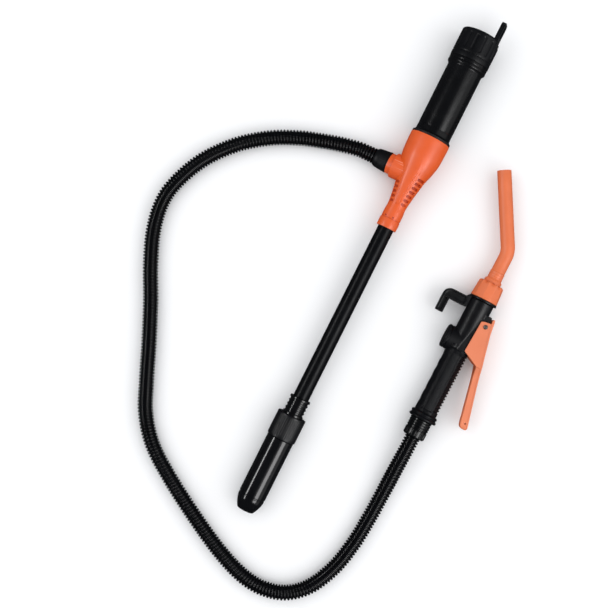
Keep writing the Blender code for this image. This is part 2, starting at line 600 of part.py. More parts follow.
def spout_parts(frame):
    """The bent spout, its sealing washer and the nut that clamps it."""
    forward = Vector((0, 1, 0))
    after = Vector((-math.sin(SPOUT_BEND), math.cos(SPOUT_BEND), 0))
    corner = Vector((0, SPOUT_STRAIGHT, 0))
    blend = 8.0                          # how far the bend reaches each way from the corner
    turn_r = blend / math.tan(SPOUT_BEND / 2)
    turn_centre = corner - forward * blend + Vector((-turn_r, 0, 0))
    path = [(Vector((0, -station, 0)), forward, radius)
            for station, radius in ((5.4, 13.8), (3.5, 13.8), (3.5, 11.3), (-5.5, 11.3),
                                    (-8.0, 9.6), (-9.0, SPOUT_R))]
    for step in range(6):
        angle = SPOUT_BEND * step / 5
        outward = Vector((math.cos(angle), math.sin(angle), 0))
        heading = Vector((-math.sin(angle), math.cos(angle), 0))
        path.append((turn_centre + outward * turn_r, heading, SPOUT_R))
    path.append((corner + after * SPOUT_REACH, after, SPOUT_R))
    inner = [(point, heading, SPOUT_BORE_R) for point, heading, radius in reversed(path)
             if radius == SPOUT_R]
    inner.append((path[0][0], forward, SPOUT_BORE_R))
    bm = bmesh.new()
    rings = []
    for point, heading, radius in path + inner:
        across = heading.cross(Vector((0, 0, 1)))
        rings.append([bm.verts.new(point + radius * (math.cos(math.tau * side / ROUND) * across
                                                     + math.sin(math.tau * side / ROUND)
                                                     * Vector((0, 0, 1))))
                      for side in range(ROUND)])
    for ring, following in zip(rings, rings[1:] + rings[:1]):
        for side in range(ROUND):
            nearby = (side + 1) % ROUND
            bm.faces.new((ring[side], ring[nearby], following[nearby], following[side]))
    place(solid("spout", bm), frame, "nozzle_orange")

    nut = turned("spout_nut", [(-1.0, 15.2), (0.2, 16.2), (21.3, 17.8), (22.1, 17.4), (22.1, 14.3),
                               (3.2, 14.3), (3.2, 11.8), (-1.0, 11.8)], ROUND)
    place(nut, frame, "nozzle_orange")
    seal = turned("spout_seal", [(5.7, 7.2), (5.7, 13.6), (7.7, 13.6), (7.7, 7.2)], ROUND_SMALL)
    place(seal, frame, "rubber")


def trigger_parts(frame):
    """Channel-shaped squeeze lever and the pin it turns on."""
    head = [(39.0, 22.6), (45.3, 20.9), (47.9, 8.4), (90.6, 6.6), (101.0, 28.3), (101.0, 35.8),
            (59.5, 25.9)]
    arm = [(80.0, 29.0), (101.0, 28.3), (177.8, 45.2), (176.2, 55.2), (80.0, 31.9)]
    lever = join(prism("trigger_lever", head, LEVER_HALF), prism("arm", arm, LEVER_ARM_HALF))
    hollow_half = LEVER_HALF - LEVER_WALL
    inside = [(30.0, 18.3), (44.0, 20.2), (59.7, 23.8), (99.0, 33.2), (99.0, 20.0), (90.0, 0.0),
              (42.0, 0.0)]
    trough = [(95.0, 10.0), (95.0, 33.2), (174.4, 52.5), (175.5, 47.0), (175.5, 10.0)]
    cut(lever, prism("inside", inside, hollow_half),
        prism("trough", trough, LEVER_ARM_HALF - LEVER_WALL))
    presser = block("presser", (PRESSER_X, 30.3), (80.5, 85.5), (-hollow_half - 1, hollow_half + 1))
    join(lever, presser)
    cut(lever, rod("pin_hole", -20.0, 20.0, PIN_R + GAP, 12, (PIVOT_OFFSET, PIVOT_STATION), "Z"))
    place(lever, frame, "nozzle_orange", origin=(PIVOT_OFFSET, PIVOT_STATION, 0))
    head_z, rim_z = LEVER_HALF + GAP, LEVER_HALF + 1.2
    pin = turned("trigger_pin",
                 [(-rim_z, 0), (-rim_z, 2.8), (-head_z, 2.8), (-head_z, PIN_R), (head_z, PIN_R),
                  (head_z, 2.8), (rim_z, 2.8), (rim_z, 0)],
                 12, (PIVOT_OFFSET, PIVOT_STATION), "Z")
    place(pin, frame, "steel", origin=(PIVOT_OFFSET, PIVOT_STATION, 0))


# ---------------------------------------------------------------- the free hose

def smooth_curve(route, spacing):
    """Evenly spaced points on a smooth curve through the route's points."""
    points = [Vector(point) for point in route]
    points = [2 * points[0] - points[1]] + points + [2 * points[-1] - points[-2]]
    steps = 24
    fine = []
    for before, start, end, after in zip(points, points[1:], points[2:], points[3:]):
        for step in range(steps):
            t = step / steps
            fine.append(0.5 * (2 * start + (end - before) * t
                               + (2 * before - 5 * start + 4 * end - after) * t ** 2
                               + (3 * start - before - 3 * end + after) * t ** 3))
    fine.append(points[-2])
    lengths = [0.0]
    for first, second in zip(fine, fine[1:]):
        lengths.append(lengths[-1] + (second - first).length)
    count = round(lengths[-1] / spacing)
    even = []
    index = 0
    for step in range(count):
        wanted = lengths[-1] * step / count
        while lengths[index + 1] < wanted:
            index += 1
        share = (wanted - lengths[index]) / (lengths[index + 1] - lengths[index])
        even.append(fine[index].lerp(fine[index + 1], share))
    return even + [fine[-1]]


def hose():
    """Corrugated hose, here as a plain tube of its outer diameter."""
    obj = wire("hose", smooth_curve(HOSE_ROUTE, HOSE_SPACING), HOSE_R, 2)
    obj.data.materials.append(finish_material("hose_black"))


def main():
    for obj in list(bpy.data.objects):
        bpy.data.objects.remove(obj)
    pump_turn = Matrix.Rotation(PUMP_TILT, 4, "X") @ Matrix.Rotation(PUMP_ROLL, 4, "Y")
    pump = frame_empty("pump_frame", PUMP_ORIGIN, pump_turn)
    nozzle = frame_empty("nozzle_frame", NOZZLE_ORIGIN, Matrix.Rotation(NOZZLE_YAW, 4, "Z"))
    pump_casing(pump)
    inlet_strainer(pump)
    impeller(pump)
    motor_group(pump)
    suction_line(pump)
    housing_halves(pump)
    housing_screws(pump)
    outlet_parts(pump)
    battery_parts(pump)
    cap_parts(pump)
    nozzle_body(nozzle)
    grip_and_nut(nozzle)
    hook_bracket(nozzle)
    valve_parts(nozzle)
    spout_parts(nozzle)
    trigger_parts(nozzle)
    hose()


main()
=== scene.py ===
"""Looks of a battery fluid transfer pump with a ribbed hose and a trigger nozzle.

Every piece is made in millimetres in the frame of the pump or of the nozzle, whose places come
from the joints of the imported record, and is then baked into the row frame in metres. In both
frames the part runs along Y, stations are measured towards -Y, and radii from the axis.
"""

import json
import math

import bmesh
import bpy
from mathutils import Matrix, Vector


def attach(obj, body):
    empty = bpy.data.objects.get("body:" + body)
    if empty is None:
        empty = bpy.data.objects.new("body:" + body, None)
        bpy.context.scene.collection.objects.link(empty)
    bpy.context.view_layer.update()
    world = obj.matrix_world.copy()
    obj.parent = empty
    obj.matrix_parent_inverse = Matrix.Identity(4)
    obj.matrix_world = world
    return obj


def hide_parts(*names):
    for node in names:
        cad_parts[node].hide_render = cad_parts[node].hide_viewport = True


MM = 0.001
TINY = 1e-6                  # lengths and radii below this count as none
MERGE_MM = 0.0005            # corners closer than this become one
FLOOR_HALF = 12.0
SKY_LIGHT = 0.6              # the sky's strength as light
SKY_GLOSS = 0.045            # the sky's strength in reflections
SIDES = 144                  # sides of a round piece that is seen
FINE = 288                   # sides of a round piece with details round its rim
MIX_FIRST, MIX_SECOND, MIX_RESULT = 6, 7, 2     # the colour sockets of a Mix node

# Pump, stations from the cap's rim.
PUMP_ROLL = math.radians(-12)
CAP_END = 37.1
CAP_R = 25.6
CAP_GROOVES = 16
GROOVE_ENDS = (6.6, 24.6)    # middles of the round ends of a groove
GROOVE_HALF = 2.1
THREAD_PITCH = 4.0
THREAD_ROOT_R = 20.9
THREAD_HEIGHT = 0.9
SPIGOT_STATION = 192.5
SCREW_SPOTS = ((16.0, 158.0), (-16.0, 158.0), (-14.5, 176.0), (14.0, 190.0))  # x, station
SHELL_GAP = 0.12             # half of the gap between the shells
VENT_COUNT = 7
VENT_START = 197.5
VENT_PITCH = 6.0
VENT_HALF = 1.8
FIRST_LEFT_VENT = 2          # on the left the first vents would cut the spigot's boss
FLANK_DROP = 0.6             # how far the flanks with the vents lie below the crease
SPEAR_TIP = 235.0
SPEAR_HEIGHT = 1.3
NOTCH_ANGLES = (20, -28, 92, 160, 208, -92)
NOTCH_HALF = 1.2
CUFF_FLUTES = 36
COLLAR_RIBS = 48
FLUTE_DEPTH = 0.22

# Nozzle, stations from the front of its nut.
PIVOT_STATION = 52.0
PIVOT_OFFSET = 16.0
PIN_HOLE_R = 2.3
VALVE_STATION = 83.0
LUG_HALF = 11.8              # half width of the lever's lug, and of the flats beside it
GRIP_FLATS = 8
HOSE_NUT_NOTCHES = 14
VALVE_CAP_NOTCHES = 28
SPOUT_NUT_FLATS = 10
SPOUT_BEND = math.radians(30)

# Hose: the route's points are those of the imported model, in metres.
HOSE_R = 9.9
HOSE_TROUGH_R = 7.6
HOSE_PITCH = 4.0
HOSE_ROUTE = [
    (-0.12897, 0.12592, 0.01387), (-0.1402, 0.12596, 0.01148), (-0.152, 0.1253, 0.0101),
    (-0.17486, 0.12037, 0.01), (-0.20006, 0.11297, 0.01), (-0.22619, 0.10371, 0.01),
    (-0.25856, 0.08713, 0.01), (-0.29155, 0.06152, 0.01), (-0.32022, 0.0264, 0.01),
    (-0.33777, -0.01239, 0.01), (-0.3431, -0.045, 0.01), (-0.33675, -0.08221, 0.01),
    (-0.32034, -0.12315, 0.01), (-0.30082, -0.16201, 0.01), (-0.28, -0.208, 0.01),
    (-0.26027, -0.25472, 0.01), (-0.24263, -0.2924, 0.01), (-0.21646, -0.32449, 0.01),
    (-0.17608, -0.35373, 0.01), (-0.12461, -0.3842, 0.01), (-0.07837, -0.40787, 0.01),
    (-0.04032, -0.42139, 0.01), (-0.00991, -0.4235, 0.01), (0.018, -0.415, 0.01),
    (0.04069, -0.39407, 0.01), (0.057, -0.36, 0.01), (0.06517, -0.32209, 0.01),
    (0.06835, -0.28506, 0.01), (0.06972, -0.24505, 0.0108), (0.06997, -0.21402, 0.0149),
    (0.07053, -0.188, 0.0182), (0.0708, -0.1683, 0.0183),
]

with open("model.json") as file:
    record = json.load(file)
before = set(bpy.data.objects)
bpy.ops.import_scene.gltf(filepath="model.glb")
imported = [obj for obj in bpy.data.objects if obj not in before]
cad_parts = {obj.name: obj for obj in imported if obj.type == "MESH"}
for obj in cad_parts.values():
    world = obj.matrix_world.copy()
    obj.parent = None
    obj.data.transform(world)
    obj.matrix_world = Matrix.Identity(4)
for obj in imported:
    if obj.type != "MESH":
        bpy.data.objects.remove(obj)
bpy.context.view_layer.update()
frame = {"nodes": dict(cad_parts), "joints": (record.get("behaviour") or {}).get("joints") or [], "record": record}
joints = {joint["name"]: joint for joint in frame["joints"]}
body_of = {node: body for body, nodes in frame["record"]["behaviour"]["bodies"].items()
           for node in nodes}
slot_of = {part["node"]: part["material_slot"] for part in frame["record"]["subparts"]}


def pump_frame():
    """Matrix from the pump's millimetres to the row frame."""
    twist = joints["cap_twist"]
    along = Vector(twist["axis"]).normalized()
    across = along.cross(Vector((0, 0, 1))).normalized()
    level = Matrix((across, along, across.cross(along))).transposed().to_4x4()
    turn = level @ Matrix.Rotation(PUMP_ROLL, 4, "Y")
    start = Matrix.Translation(Vector(twist["pos_m"])) @ turn
    return start @ Matrix.Scale(MM, 4) @ Matrix.Translation((0, CAP_END, 0))


def nozzle_frame():
    """Matrix from the nozzle's millimetres to the row frame."""
    across = -Vector(joints["valve_stroke"]["axis"]).normalized()
    up = Vector((0, 0, 1))
    turn = Matrix((across, up.cross(across), up)).transposed().to_4x4()
    start = Matrix.Translation(Vector(joints["trigger_squeeze"]["pos_m"])) @ turn
    return start @ Matrix.Scale(MM, 4) @ Matrix.Translation((-PIVOT_OFFSET, PIVOT_STATION, 0))


PUMP = pump_frame()
NOZZLE = nozzle_frame()


# ---------------------------------------------------------------- camera, light and floor

def make_camera():
    """Straight above, turned so that the pump leans to the right as it lies."""
    data = bpy.data.cameras.new("camera")
    data.sensor_width = 36.0
    data.lens = 74.01
    camera = bpy.data.objects.new("camera", data)
    camera.location = (-0.12565, -0.0801, 1.586)
    camera.rotation_euler = (0, 0, math.radians(26.57))
    bpy.context.scene.collection.objects.link(camera)
    bpy.context.scene.camera = camera


def area_light(name, place, target, size, radiance, reflected=True):
    """A rectangular soft box that faces its target, and is seen in gloss or lights the rest."""
    data = bpy.data.lights.new(name, "AREA")
    data.shape = "RECTANGLE"
    data.size, data.size_y = size
    data.energy = radiance * math.pi * size[0] * size[1]
    light = bpy.data.objects.new(name, data)
    light.location = place
    light.rotation_euler = (Vector(target) - Vector(place)).to_track_quat("-Z", "Y").to_euler()
    light.visible_camera = False
    light.visible_glossy = reflected
    light.visible_diffuse = not reflected
    bpy.context.scene.collection.objects.link(light)


def make_stage():
    """Pale floor, an even sky that is dim in gloss, soft boxes on both sides that are seen only
    in gloss, and wide fills that aren't.
    """
    scene = bpy.context.scene
    scene.view_settings.view_transform = "Standard"
    world = bpy.data.worlds.new("sky")
    world.use_nodes = True
    sky = world.node_tree.nodes["Background"]
    sky.inputs["Color"].default_value = (0.86, 0.88, 0.92, 1)
    nodes, links = world.node_tree.nodes, world.node_tree.links
    glossy = nodes.new("ShaderNodeLightPath").outputs["Is Glossy Ray"]
    strength = mapped(nodes, links, glossy, 0.0, 1.0, SKY_LIGHT, SKY_GLOSS)
    links.new(strength, sky.inputs["Strength"])
    scene.world = world

    bm = bmesh.new()
    bmesh.ops.create_grid(bm, x_segments=1, y_segments=1, size=FLOOR_HALF)
    mesh = bpy.data.meshes.new("floor")
    bm.to_mesh(mesh)
    bm.free()
    floor = bpy.data.objects.new("floor", mesh)
    scene.collection.objects.link(floor)
    material, _, _, shader = new_material("floor")
    shader.inputs["Base Color"].default_value = (0.86, 0.86, 0.86, 1)
    shader.inputs["Roughness"].default_value = 0.8
    shader.inputs["Specular IOR Level"].default_value = 0.1
    mesh.materials.append(material)
    floor.visible_glossy = False

    area_light("soft_box_right", (1.03, -0.5, 1.23), (0, -0.5, 0), (1.4, 0.8), 4.2)
    area_light("panel_right", (1.75, 0.0, 1.35), (0, 0, 0), (3.5, 3.4), 0.35)
    area_light("strip_left", (-1.21, -0.5, 0.88), (0, -0.5, 0), (1.2, 0.18), 10.0)
    area_light("fill_above", (0.3, 0.0, 3.6), (0.3, 0, 0), (12.0, 12.0), 0.68, reflected=False)
    area_light("fill_right", (1.6, 0.0, 1.2), (0, -0.05, 0), (2.0, 2.0), 1.0, reflected=False)
    area_light("fill_left", (-1.6, 0.0, 1.2), (0, -0.05, 0), (2.0, 2.0), 0.6, reflected=False)


# ---------------------------------------------------------------- materials

def new_material(name):
    """An empty Principled material, its nodes, its links and its shader."""
    material = bpy.data.materials.new(name)
    material.use_nodes = True
    tree = material.node_tree
    return material, tree.nodes, tree.links, tree.nodes["Principled BSDF"]


def noise(nodes, links, size_mm, detail=2.0):
    """Noise with features of about that size, on the row frame's own coordinates."""
    coordinates = nodes.new("ShaderNodeTexCoord")
    texture = nodes.new("ShaderNodeTexNoise")
    texture.inputs["Scale"].default_value = 1 / (size_mm * MM)
    texture.inputs["Detail"].default_value = detail
    links.new(coordinates.outputs["Object"], texture.inputs["Vector"])
    return texture.outputs["Fac"]


def mapped(nodes, links, value, start, end, low, high):
    """The value, mapped from the range between start and end to that between low and high."""
    ranged = nodes.new("ShaderNodeMapRange")
    limits = {"From Min": start, "From Max": end, "To Min": low, "To Max": high}
    for limit, level in limits.items():
        ranged.inputs[limit].default_value = level
    links.new(value, ranged.inputs["Value"])
    return ranged.outputs["Result"]


def spread(nodes, links, value, low, high):
    """A noise, which lies mostly between 0.3 and 0.7, mapped to the range from low to high."""
    return mapped(nodes, links, value, 0.3, 0.7, low, high)


def bumped(nodes, links, shader, height, depth_mm):
    """Gives the shader a relief of that depth."""
    bump = nodes.new("ShaderNodeBump")
    bump.inputs["Strength"].default_value = 1.0
    bump.inputs["Distance"].default_value = depth_mm * MM
    links.new(height, bump.inputs["Height"])
    links.new(bump.outputs["Normal"], shader.inputs["Normal"])


def blended(nodes, links, share, first, second):
    """A colour between two colours or outputs, by a share from 0 to 1."""
    mix = nodes.new("ShaderNodeMix")
    mix.data_type = "RGBA"
    links.new(share, mix.inputs["Factor"])
    for socket, colour in ((mix.inputs[MIX_FIRST], first), (mix.inputs[MIX_SECOND], second)):
        if isinstance(colour, tuple):
            socket.default_value = (*colour, 1)
        else:
            links.new(colour, socket)
    return mix.outputs[MIX_RESULT]


def moulded_plastic(name, dark, light, roughness, grain_mm, grain_depth, worn, wear=0.5,
                    coat=0.0, specular=0.5):
    """Moulded plastic or rubber: cloudy colour, uneven gloss, fine grain, edges rubbed towards
    the worn colour, and painted shade that darkens the hollows.
    """
    material, nodes, links, shader = new_material(name)
    cloud = spread(nodes, links, noise(nodes, links, 28.0, 3.0), 0.0, 1.0)
    colour = blended(nodes, links, cloud, dark, light)
    pointiness = nodes.new("ShaderNodeNewGeometry").outputs["Pointiness"]
    edge = mapped(nodes, links, pointiness, 0.53, 0.66, 0.0, wear)
    colour = blended(nodes, links, edge, colour, worn)
    # Painted shade: concave places (low pointiness), such as vents and recesses, are darkened towards a deep
    # red-brown copy of the dark colour, in place of the shade that falls there.
    hollow = mapped(nodes, links, pointiness, 0.475, 0.4, 0.0, 0.9)
    shaded = tuple(level * share for level, share in zip(dark, (0.5, 0.2, 0.2)))
    colour = blended(nodes, links, hollow, colour, shaded)
    links.new(colour, shader.inputs["Base Color"])
    smudge = noise(nodes, links, 9.0, 4.0)
    links.new(spread(nodes, links, smudge, *roughness), shader.inputs["Roughness"])
    bumped(nodes, links, shader, noise(nodes, links, grain_mm, 1.0), grain_depth)
    shader.inputs["Coat Weight"].default_value = coat
    shader.inputs["Coat Roughness"].default_value = 0.06
    shader.inputs["Specular IOR Level"].default_value = specular
    return material


def metal(name, dark, light, roughness):
    """Bright metal with fine drawn marks."""
    material, nodes, links, shader = new_material(name)
    cloud = spread(nodes, links, noise(nodes, links, 6.0, 3.0), 0.0, 1.0)
    links.new(blended(nodes, links, cloud, dark, light), shader.inputs["Base Color"])
    shader.inputs["Metallic"].default_value = 1.0
    drawn = noise(nodes, links, 1.2, 3.0)
    links.new(spread(nodes, links, drawn, *roughness), shader.inputs["Roughness"])
    bumped(nodes, links, shader, drawn, 0.01)
    return material


def make_finishes():
    """One material for each slot of the record, and a few for single nodes."""
    grey = (0.07, 0.073, 0.08)
    deep, black = (0.0018, 0.002, 0.0026), (0.003, 0.0033, 0.0042)
    soft, dull = (0.0024, 0.0027, 0.0036), (0.004, 0.0044, 0.0058)
    # By slot or node: name, dark and light colour, roughness, grain and its depth in mm, worn
    # colour, and where they aren't the usual ones wear, coat and specular.
    plastics = {
        "satin_black": ("satin_black", soft, dull, (0.3, 0.4), 0.35, 0.01, grey, 0.3, 0.0, 0.42),
        "gloss_black": ("gloss_black", deep, black, (0.12, 0.2), 1.6, 0.004, grey, 0.15, 0.3),
        "battery_tube": ("tube_black", deep, black, (0.2, 0.28), 1.6, 0.004, grey, 0.15),
        "suction_tube": ("pipe_black", deep, black, (0.26, 0.36), 1.2, 0.006, grey, 0.1, 0.0,
                         0.16),
        "hose_black": ("hose_black", deep, soft, (0.1, 0.18), 0.9, 0.004, grey, 0.1),
        "hose_nut": ("nut_black", deep, soft, (0.16, 0.26), 0.6, 0.006, grey, 0.25),
        "handle_grip": ("grip_black", soft, dull, (0.3, 0.4), 0.3, 0.01, (0.11, 0.11, 0.12), 0.7,
                        0.0, 0.22),
        "hose_cuff": ("cuff_black", soft, dull, (0.4, 0.5), 0.35, 0.012, grey, 0.25, 0.0, 0.3),
        "rubber": ("rubber", (0.005, 0.005, 0.0055), (0.009, 0.009, 0.01), (0.5, 0.66), 0.3,
                   0.015, grey, 0.25),
        "orange": ("orange", (0.67, 0.083, 0.007), (0.73, 0.097, 0.01), (0.3, 0.4), 0.5, 0.008,
                   (0.92, 0.38, 0.25), 0.6, 0.0, 0.6),
        "nozzle_orange": ("nozzle_orange", (0.66, 0.142, 0.044), (0.71, 0.158, 0.051),
                          (0.36, 0.46), 0.5, 0.008, (0.95, 0.5, 0.36), 0.6),
        "trigger_lever": ("lever_orange", (0.65, 0.17, 0.07), (0.7, 0.19, 0.08), (0.4, 0.5),
                          0.5, 0.008, (0.97, 0.56, 0.42), 0.7),
        "white_plastic": ("white_plastic", (0.72, 0.72, 0.69), (0.78, 0.78, 0.75), (0.35, 0.5),
                          0.5, 0.01, (0.85, 0.85, 0.83)),
        "cell_wrap": ("cell_wrap", (0.02, 0.03, 0.055), (0.03, 0.045, 0.075), (0.25, 0.35), 0.8,
                      0.004, grey, 0.2),
    }
    metals = {
        "trigger_pin": ("pin_steel", (0.2, 0.17, 0.15), (0.3, 0.27, 0.25), (0.3, 0.45)),
        "steel": ("steel", (0.48, 0.49, 0.51), (0.62, 0.63, 0.65), (0.18, 0.34)),
        "brass": ("brass", (0.62, 0.42, 0.17), (0.76, 0.54, 0.25), (0.2, 0.34)),
        "motor_metal": ("motor_metal", (0.5, 0.5, 0.51), (0.62, 0.62, 0.63), (0.25, 0.4)),
    }
    made = {key: moulded_plastic(*look) for key, look in plastics.items()}
    return made | {key: metal(*look) for key, look in metals.items()}


# ---------------------------------------------------------------- mesh making

def mesh_object(name, verts, faces):
    """A closed mesh object in a part's own millimetres, with its normals outwards."""
    bm = bmesh.new()
    made = [bm.verts.new(vert) for vert in verts]
    for face in faces:
        bm.faces.new([made[index] for index in face])
    bmesh.ops.remove_doubles(bm, verts=bm.verts, dist=MERGE_MM)
    bmesh.ops.dissolve_degenerate(bm, edges=bm.edges, dist=MERGE_MM)
    bmesh.ops.recalc_face_normals(bm, faces=bm.faces)
    mesh = bpy.data.meshes.new(name)
    bm.to_mesh(mesh)
    bm.free()
    obj = bpy.data.objects.new(name, mesh)
    bpy.context.scene.collection.objects.link(obj)
    return obj


def strip(sides, row, following):
    """Faces between two rows of corners, each row closed in itself."""
    return [[row * sides + side, row * sides + (side + 1) % sides,
             following * sides + (side + 1) % sides, following * sides + side]
            for side in range(sides)]


def bar_faces(sides, rows):
    """Faces of a bar through rows of corners, closed at both ends."""
    faces = [list(range(sides)), list(range((rows - 1) * sides, rows * sides))]
    for row in range(rows - 1):
        faces += strip(sides, row, row + 1)
    return faces


def rounded(outline, size, steps=3, straight_angle=2.9):
    """The closed outline with its corners off the axis rounded off by up to that size."""
    points = [Vector(point) for point in outline]
    result = []
    for index, corner in enumerate(points):
        before = points[index - 1] - corner
        after = points[(index + 1) % len(points)] - corner
        reach = min(size, 0.45 * before.length, 0.45 * after.length)
        if (corner.y < TINY or before.length < TINY or after.length < TINY
                or before.angle(after) > straight_angle):
            result.append(tuple(corner))
            continue
        start = corner + before.normalized() * reach
        end = corner + after.normalized() * reach
        for step in range(steps + 1):
            t = step / steps
            point = start * (1 - t) ** 2 + corner * 2 * t * (1 - t) + end * t ** 2
            result.append(tuple(point))
    return result


def refined(outline, start, end, spacing):
    """The closed outline with its long outer edges between two stations cut into short ones."""
    result = []
    for index, point in enumerate(outline):
        following = outline[(index + 1) % len(outline)]
        result.append(point)
        if following[0] <= point[0] or point[0] > end or following[0] < start:
            continue
        count = math.ceil((following[0] - point[0]) / spacing)
        for step in range(1, count):
            t = step / count
            result.append((point[0] + (following[0] - point[0]) * t,
                           point[1] + (following[1] - point[1]) * t))
    return result


def turned(name, outline, sides=SIDES, shape=None, axis_point=(0.0, 0.0), along="Y"):
    """A turned solid from a closed outline of (distance, radius) points.

    shape(distance, radius, angle) may change a radius; the angle is 0 at the top and grows
    towards +X. Along X the distance runs towards -X from the axis point (station, z), and along
    Z it is z and the axis point is (x, station).
    """
    verts = []
    for distance, radius in outline:
        for side in range(sides):
            angle = math.tau * side / sides
            shown = shape(distance, radius, angle) if shape and radius > 0 else radius
            verts.append((shown * math.sin(angle), -distance, shown * math.cos(angle)))
    faces = []
    rows = len(outline)
    for row in range(rows):
        following = (row + 1) % rows
        if outline[row][1] > TINY or outline[following][1] > TINY:
            faces += strip(sides, row, following)
    obj = mesh_object(name, verts, faces)
    a, b = axis_point
    obj.data.transform({
        "Y": Matrix.Translation((a, 0, b)),
        "X": Matrix.Translation((0, -a, b)) @ Matrix.Rotation(-math.pi / 2, 4, "Z"),
        "Z": Matrix.Translation((a, -b, 0)) @ Matrix.Rotation(-math.pi / 2, 4, "X"),
    }[along])
    return obj


def rod(name, start, end, radius, sides=64, axis_point=(0.0, 0.0), along="Y", edge=0.0):
    """A round bar, its edges rounded off."""
    outline = [(start, 0), (start, radius), (end, radius), (end, 0)]
    return turned(name, rounded(outline, edge) if edge else outline, sides, None, axis_point,
                  along)


def prism(name, corners, bottom, top):
    """A side view's outline of (station, x) corners between two values of z."""
    verts = [(x, -station, z) for z in (bottom, top) for station, x in corners]
    return mesh_object(name, verts, bar_faces(len(corners), 2))


def block(name, x, stations, z):
    """A box between two values of x, two stations and two values of z."""
    corners = [(stations[0], x[0]), (stations[1], x[0]), (stations[1], x[1]),
               (stations[0], x[1])]
    return prism(name, corners, z[0], z[1])


def slot_outline(low, high, half_width, corner_r, steps=8):
    """Outline of (y, z) points between two values of y, with round corners."""
    outline = []
    for turn in range(4):
        end = high - corner_r if turn in (0, 1) else low + corner_r
        side = (half_width - corner_r) * (1 if turn in (0, 3) else -1)
        for step in range(steps + 1):
            angle = math.pi / 2 * (turn + step / steps)
            outline.append((end + corner_r * math.sin(angle), side + corner_r * math.cos(angle)))
    return outline


def plate(name, x, outline):
    """A plate across X, between two values of x, with an outline of (y, z) points."""
    verts = [(place, y, z) for place in x for y, z in outline]
    return mesh_object(name, verts, bar_faces(len(outline), 2))


def channel(name, sections):
    """A bar through sections of (station, lower x, upper x, half width), closed at its ends."""
    verts = [(x, -station, z) for station, low, high, half in sections
             for x, z in ((low, -half), (high, -half), (high, half), (low, half))]
    return mesh_object(name, verts, bar_faces(4, len(sections)))


def baked(obj):
    """The object with its modifiers applied."""
    bpy.context.view_layer.update()
    evaluated = obj.evaluated_get(bpy.context.evaluated_depsgraph_get())
    mesh = bpy.data.meshes.new_from_object(evaluated)
    obj.modifiers.clear()
    obj.data = mesh
    return obj


def combined(body, tools, operation, solver):
    """Joins the tools to the body or cuts them from it, and removes them."""
    for tool in tools:
        modifier = body.modifiers.new(operation, "BOOLEAN")
        modifier.operation = operation
        modifier.solver = solver
        modifier.object = tool
    baked(body)
    for tool in tools:
        bpy.data.objects.remove(tool)
    return body


def joined(body, *tools, solver="MANIFOLD"):
    """The body with the tools joined to it."""
    return combined(body, tools, "UNION", solver)


def cut(body, *tools, solver="MANIFOLD"):
    """The body with the tools cut from it."""
    return combined(body, tools, "DIFFERENCE", solver)


def softened(obj, voxel, rounds):
    """The solid remade in small even faces and smoothed, as a moulding's corners are."""
    remesh = obj.modifiers.new("remesh", "REMESH")
    remesh.mode = "VOXEL"
    remesh.voxel_size = voxel
    smooth = obj.modifiers.new("smooth", "SMOOTH")
    smooth.factor = 0.5
    smooth.iterations = rounds
    return baked(obj)


def bevelled(obj, width, segments=3, angle=40):
    """The solid with its sharp edges rounded off."""
    bevel = obj.modifiers.new("bevel", "BEVEL")
    bevel.width = width
    bevel.segments = segments
    bevel.limit_method = "ANGLE"
    bevel.angle_limit = math.radians(angle)
    return baked(obj)


def placed(obj, node, frame_matrix, sharp=38):
    """Bakes a piece into the row frame, in the place and finish of the CAD node it stands for."""
    obj.name = node + "_look"
    obj.data.name = obj.name
    obj.data.transform(frame_matrix)
    obj.data.shade_smooth()
    obj.data.set_sharp_from_angle(angle=math.radians(sharp))
    obj.data.materials.clear()
    obj.data.materials.append(finishes.get(node, finishes[slot_of[node]]))
    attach(obj, body_of[node])
    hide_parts(node)
    return obj


def ramp(value, low, high):
    """0 below low, 1 above high and a smooth step between them."""
    share = min(1.0, max(0.0, (value - low) / (high - low)))
    return share * share * (3 - 2 * share)


def band(value, start, full, fall, end):
    """Rises from 0 to 1 between start and full, and falls again between fall and end."""
    return ramp(value, start, full) * (1 - ramp(value, fall, end))


def off_centre(angle, count=1):
    """The angle from the middle of that one of count equal flats in which it lies."""
    return (angle + math.pi / count) % (math.tau / count) - math.pi / count


# ---------------------------------------------------------------- the free hose

def smooth_curve(route, spacing):
    """Evenly spaced points on a smooth curve through the route's points."""
    points = [Vector(point) for point in route]
    points = [2 * points[0] - points[1]] + points + [2 * points[-1] - points[-2]]
    steps = 24
    fine = []
    for before, start, end, after in zip(points, points[1:], points[2:], points[3:]):
        for step in range(steps):
            t = step / steps
            fine.append(0.5 * (2 * start + (end - before) * t
                               + (2 * before - 5 * start + 4 * end - after) * t ** 2
                               + (3 * start - before - 3 * end + after) * t ** 3))
    fine.append(points[-2])
    lengths = [0.0]
    for first, second in zip(fine, fine[1:]):
        lengths.append(lengths[-1] + (second - first).length)
    count = round(lengths[-1] / spacing)
    even = []
    index = 0
    for step in range(count):
        wanted = lengths[-1] * step / count
        while lengths[index + 1] < wanted:
            index += 1
        share = (wanted - lengths[index]) / (lengths[index + 1] - lengths[index])
        even.append(fine[index].lerp(fine[index + 1], share))
    return even + [fine[-1]]


